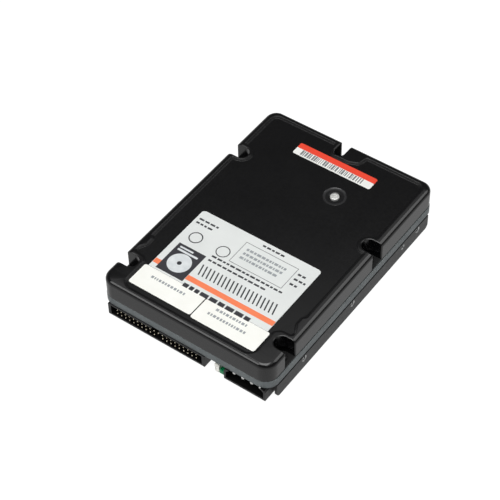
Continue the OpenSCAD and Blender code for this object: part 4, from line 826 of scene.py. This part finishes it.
def make_screws():
    """The five screws in the notches and the pivot's screw."""
    cover = Build()
    for x, y, _, _ in NOTCHES:
        screw(cover, x, y, FLOOR, head=(2.5, 1.5), drive=(1.0, 1.0), shank=(1.45, 12.0))
    cover.make("notch_screws", "screw_black", stands_for=["cover_screws"])
    pivot = Build()
    screw(pivot, *PIVOT, PANEL - DISH[-1][1], head=(2.4, 1.1), drive=(1.0, 0.7), shank=(1.4, 20.0))
    pivot.make("pivot_screw", "zinc_plate", stands_for=["pivot_cover_screw"])


make_threads()
make_screws()


# ---------------- works inside

FILM = 0.15  # thickness of the flex cable
LOOP_X, LOOP_Y, LOOP_R = -6.05, 44, 10.05  # its half loop's centre and outer radius
FLEX_LOW, FLEX_HIGH, FLEX_MIDDLE = 15.95, 21.25, 18.6  # heights of its edges and its middle
TRACE, TRACE_PITCH, TRACE_SPAN = 0.03, 0.62, 2.4  # how far its traces stand out, their pitch, half their span


def make_ribbon():
    """The flex cable: a film in a half loop from the arm's tab to the bracket, standing on edge.

    Its section is a flat bar with rounded edges, with eight traces on the outer side."""
    turn = np.radians(np.linspace(0, 180, 73))
    middle = LOOP_R - FILM / 2
    path = np.concatenate([np.stack([LOOP_X + middle * np.cos(turn), LOOP_Y + middle * np.sin(turn)], 1),
                           np.stack([np.full(8, LOOP_X - middle), np.linspace(43.4, 39.0, 8)], 1)])
    way = heading(path)
    out = np.stack([way[:, 1], -way[:, 0]], 1)
    z = np.linspace(FLEX_LOW, FLEX_HIGH, 49)
    up = z - FLEX_MIDDLE
    trace = TRACE * np.clip(4 * np.cos(2 * np.pi * up / TRACE_PITCH), 0, 1) * (np.abs(up) < TRACE_SPAN)
    high = np.concatenate([z, z[::-1]])
    off = np.concatenate([FILM / 2 - TRACE + trace, np.full(len(z), -FILM / 2)])
    off[[0, len(z) - 1, len(z), -1]] *= 0.4
    work = Build()
    work.bar(np.concatenate([path[:, None] + out[:, None] * off[None, :, None],
                             np.broadcast_to(high, (len(path), len(high)))[..., None]], -1))
    ribbon = work.make("flex_ribbon", "flex_amber", body=None, stands_for=["flex_cable"])
    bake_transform(ribbon)


make_ribbon()


# Chips: centre, width, length, lead pitch, and whether the sides along x and along y have leads
LEADS = [(-22.0, 23.0, 28.0, 28.0, 0.65, (1, 1)), (14.0, 25.0, 24.0, 24.0, 0.8, (1, 1)),
         (-31.0, -26.0, 8.6, 17.0, 1.27, (1, 0)), (32.0, -16.0, 16.6, 16.6, 0.8, (1, 1))]


# Seen from the side a lead leaves the body, bends down to the board and lies on its pad: way out, height
LEAD = [(0.0, 0.9), (0.25, 0.9), (0.4, 0.78), (0.55, 0.3), (0.75, 0.1), (1.25, 0.08)]
LEAD_HALF, LEAD_THICK = 0.13, 0.12
FREE_CORNER = 1.6  # how much shorter a row of leads is than its side
FILLET = [(0.85, 0.0), (0.8, 0.08), (0.6, 0.2), (0.42, 0.5), (0.36, 0.9)]  # solder: radius and height
POWER_FILLET = 1.75  # how much larger it is at the power pins


def make_leads():
    """Gull-wing leads round the four chips and solder round the pins' ends."""
    work = Build()
    for x, y, wide, long, pitch, sides in LEADS:
        for turn in range(4):
            if not sides[turn % 2]:
                continue
            reach, run = (wide, long) if turn % 2 == 0 else (long, wide)
            places = np.arange(-(run - FREE_CORNER) / 2, (run - FREE_CORNER) / 2 + 1e-6, pitch)
            a = turn * np.pi / 2
            u, v = np.array([np.cos(a), np.sin(a)]), np.array([-np.sin(a), np.cos(a)])
            rows = []
            for s, h in LEAD:
                low, high = h - LEAD_THICK / 2, h + LEAD_THICK / 2
                ring = [(LEAD_HALF, low), (LEAD_HALF, high), (-LEAD_HALF, high), (-LEAD_HALF, low)]
                rows.append([(*(u * (reach / 2 - 0.05 + s) + v * w), BOARD[0] - max(d, 0.01)) for w, d in ring])
            for p in places:
                work.bar(np.array(rows) + np.array([x + v[0] * p, y + v[1] * p, 0]))
    work.make("chip_leads", "pin_tin")
    solder = Build()
    spots = [(x, y, 1.0) for x in COLUMNS for y in LEGS] + [(x, POWER_LEG, POWER_FILLET) for x in POWER_X]
    for x, y, k in spots:
        solder.bar([at(circle(x, y, r * k, 16), BOARD[1] + h * k) for r, h in FILLET])
    solder.make("solder_fillets", "solder")


make_leads()


# ---------------- print on the labels

def marks(name, slot, rects, z=STICKER_TOP, tilt=0.0):
    """Printed bars: each is a thin plate from x0, y0 to x1, y1; tilt slants them sideways."""
    r = np.array(rects, float)
    x, y = r[:, [0, 2, 2, 0]], r[:, [1, 1, 3, 3]]
    x = x + tilt * (y - r[:, 1:2])
    low = np.stack([x, y, np.full_like(x, z)], -1)
    high = low + [0, 0, INK]
    points = np.concatenate([low, high], 1).reshape(-1, 3)
    box = np.array([[3, 2, 1, 0], [4, 5, 6, 7], [0, 1, 5, 4], [1, 2, 6, 5], [2, 3, 7, 6], [3, 0, 4, 7]])
    faces = (box[None] + 8 * np.arange(len(r))[:, None, None]).reshape(-1, 4)
    piece(name, points, [faces], slot)


def dashes(seed, x0, x1, y, tall, word=(1.2, 3.4), gap=0.7):
    """A row of short bars of uneven length, like a line of print seen from afar."""
    pick = np.random.default_rng(seed)
    sizes = pick.uniform(*word, 60)
    ends = x0 + np.cumsum(sizes + gap)
    keep = ends - gap <= x1
    return [(e - gap - s, y, e - gap, y + tall) for e, s in zip(ends[keep], sizes[keep])]


def ring_mark(work, x, y, r0, r1, z=STICKER_TOP):
    """A printed ring."""
    section = [(r0, z), (r1, z), (r1, z + INK), (r0, z + INK), (r0, z)]
    work.rings([at(circle(x, y, r), h) for r, h in section])


PALE_TOP = STICKER_TOP + INK  # height at which pale ink lies on dark ink


def make_print():
    """The print, as plain shapes: bars, rows of dashes, slanted strokes and rings, with no lettering."""
    marks("orange_stripe", "ink_orange", [(-35.6, -49.5, -32.3, -46.4), (-15.9, -49.5, 35.6, -46.4)])
    marks("dark_block", "ink_dark", [(-32.3, -51.5, -16.0, -32.0)])
    pick = np.random.default_rng(7)
    widths = pick.choice([0.35, 0.6, 0.95], 60)
    gaps = pick.choice([0.4, 0.6, 0.8], 60)
    starts = -19 + np.concatenate([[0], np.cumsum(widths + gaps)[:-1]])
    keep = starts + widths < 19.5
    marks("code_bars", "ink_bar", [(s, 52.4, s + w, 56.1) for s, w in zip(starts[keep], widths[keep])])
    # A box of thin lines, and rows of small print beside and below it
    rows = [(-5.4, -28, 25.7, -27.75), (-5.4, -13.15, 25.7, -12.9),
            (-5.4, -28, -5.15, -12.9), (25.45, -28, 25.7, -12.9)]
    lines = [(-10.8, 2.5, 15.5), (-14.0, -34, -21), (-16.8, -34, -24), (-30.6, -14, 30), (-33.6, -14, 22)]
    for k, (y, x0, x1) in enumerate(lines):
        rows += dashes(20 + k, x0, x1, y, 1.1)
    for k, y in enumerate((-16.5, -20.0, -23.6)):
        rows += dashes(40 + k, 27.2, 34.0, y, 1.2, (1.0, 2.2))
    marks("small_print", "ink_dark", rows)
    # The large word's place: slanted strokes of one height, and a bold row under the stripe
    big = [(x, -43.8, x + 0.75, -37.0) for x in np.arange(-12.5, 31.5, 2.3)]
    marks("slanted_strokes", "ink_dark", big, tilt=-0.25)
    marks("bold_row", "ink_dark", dashes(60, -14.5, 28.5, -53.8, 2.4, (2.2, 4.6), 0.9))
    boxed = enumerate((-17.6, -20.6, -23.6))
    marks("box_print", "ink_grey", [d for k, y in boxed for d in dashes(70 + k, -2.5, 21, y, 1.5, (0.8, 2.4), 0.5)])
    stuck = enumerate([(-30, -9, -58.2), (6, 28, -61.0), (8, 27, -57.0)])
    marks("sticker_print", "ink_grey", [d for k, (x0, x1, y) in stuck
                                        for d in dashes(80 + k, x0, x1, y, 1.5, (0.7, 1.6), 0.6)])
    rings = Build()
    ring_mark(rings, -27.7, -25, 3.1, 3.7)
    ring_mark(rings, -11.2, -24.8, 3.2, 3.7)
    rings.make("ring_marks", "ink_dark")
    pale = Build()
    ring_mark(pale, -24.2, -43.0, 1.2, 6.2, PALE_TOP)
    pale.make("pale_disc_mark", "ink_pale")
    marks("pale_bars", "ink_pale", [(-30.5, -36.4, -18.5, -35.2), (-30.5, -34.4, -22.5, -33.4)], PALE_TOP)


make_print()


# ---------------- light and floor

WHITE = (1, 1, 1, 1)
PAPER_R, PAPER_DROP = 3, 0.00002  # metres: the paper's radius, and how far it lies below the drive
LAMPS = (("soft_box_above", (0.10, -0.25, 0.96), 0.95, 11.6), ("soft_box_behind", (0.50, 0.54, 0.66), 0.6, 2.5),
         ("soft_box_ahead", (-0.40, -0.68, 0.61), 0.6, 3.8))  # name, direction, size in metres, watts
LAMP_DISTANCE = 1.2  # metres
CEILING = 0.7  # how bright the ceiling is in reflections


def seen(tree):
    """The light path, and 1 where the camera sees a thing straight or through glass."""
    path = add(tree, "LightPath")
    return path, maths(tree, "MAXIMUM", path.outputs["Is Camera Ray"], path.outputs["Is Transmission Ray"])


def make_paper():
    """The floor: a round sheet of white paper, evenly lit to the camera."""
    a = angles(96)
    ring = np.column_stack([PAPER_R * np.cos(a), PAPER_R * np.sin(a), np.full(len(a), -PAPER_DROP)])
    mesh = bpy.data.meshes.new("studio_floor")
    mesh.from_pydata(ring.tolist(), [], [list(range(len(a)))])
    floor = placed("studio_floor", mesh)
    paper = bpy.data.materials.new("white_backdrop_paper")
    tree = emptied(paper)
    tone = spread(tree, grain(tree, 60.0), 0.80, 0.82)
    colour = add(tree, "CombineColor", {0: tone, 1: tone, 2: tone})
    matt = add(tree, "BsdfDiffuse", {"Color": colour.outputs[0]})
    faint = add(tree, "BsdfDiffuse", {"Color": (0.14, 0.14, 0.14, 1)})
    lift = add(tree, "Emission", {"Color": WHITE, "Strength": 0.95})
    bright = add(tree, "AddShader", {0: faint.outputs[0], 1: lift.outputs[0]})
    path, shown = seen(tree)
    mix = add(tree, "MixShader", {0: shown, 1: matt.outputs[0], 2: bright.outputs[0]})
    # In reflections the paper is bright near the drive and falls off further away
    away = add(tree, "VectorMath", {0: add(tree, "TexCoord").outputs["Object"]}, operation="LENGTH")
    near = spread(tree, away.outputs["Value"], 0.66, 0.25, 0.25, 1.3)
    mirrored = add(tree, "Emission", {"Color": WHITE, "Strength": near})
    mix = add(tree, "MixShader", {0: path.outputs["Is Glossy Ray"], 1: mix.outputs[0], 2: mirrored.outputs[0]})
    # From below the paper can't be seen
    below = add(tree, "NewGeometry").outputs["Backfacing"]
    clear = add(tree, "BsdfTransparent")
    both = add(tree, "MixShader", {0: below, 1: mix.outputs[0], 2: clear.outputs[0]})
    add(tree, "OutputMaterial", {"Surface": both.outputs[0]})
    mesh.materials.append(paper)


def make_room():
    """The air round it: white to the camera, and to the drive pale below and dark above."""
    world = bpy.data.worlds.new("pale_room")
    bpy.context.scene.world = world
    tree = emptied(world)
    path, shown = seen(tree)
    height = axes(tree, output="Generated")["Z"]
    walls = spread(tree, height, 0.3, 0.11, 0.0, 0.35)
    # A pale ceiling, which shows only in reflections
    overhead = spread(tree, height, 0.0, 1.0, 0.745, 0.79)
    ceiling = maths(tree, "MULTIPLY", overhead, path.outputs["Is Glossy Ray"])
    level = maths(tree, "MULTIPLY_ADD", ceiling, CEILING, walls)
    level = add(tree, "Mix", {0: shown, 2: level, 3: 1.0}, data_type="FLOAT")
    air = add(tree, "Background", {"Color": WHITE, "Strength": level.outputs[0]})
    add(tree, "OutputWorld", {"Surface": air.outputs[0]})


def make_lamps():
    """A broad soft box above; two smaller ones, behind on the right and ahead on the left, draw the edges."""
    for name, way, size, power in LAMPS:
        lamp = bpy.data.lights.new(name, "AREA")
        lamp.shape, lamp.size, lamp.energy = "SQUARE", size, power
        box = placed(name, lamp)
        box.location = Vector(way).normalized() * LAMP_DISTANCE
        box.rotation_euler = (-box.location).to_track_quat("-Z", "Y").to_euler()


bpy.context.scene.view_settings.view_transform = "Standard"
make_paper()
make_room()
make_lamps()

bpy.context.view_layer.update()
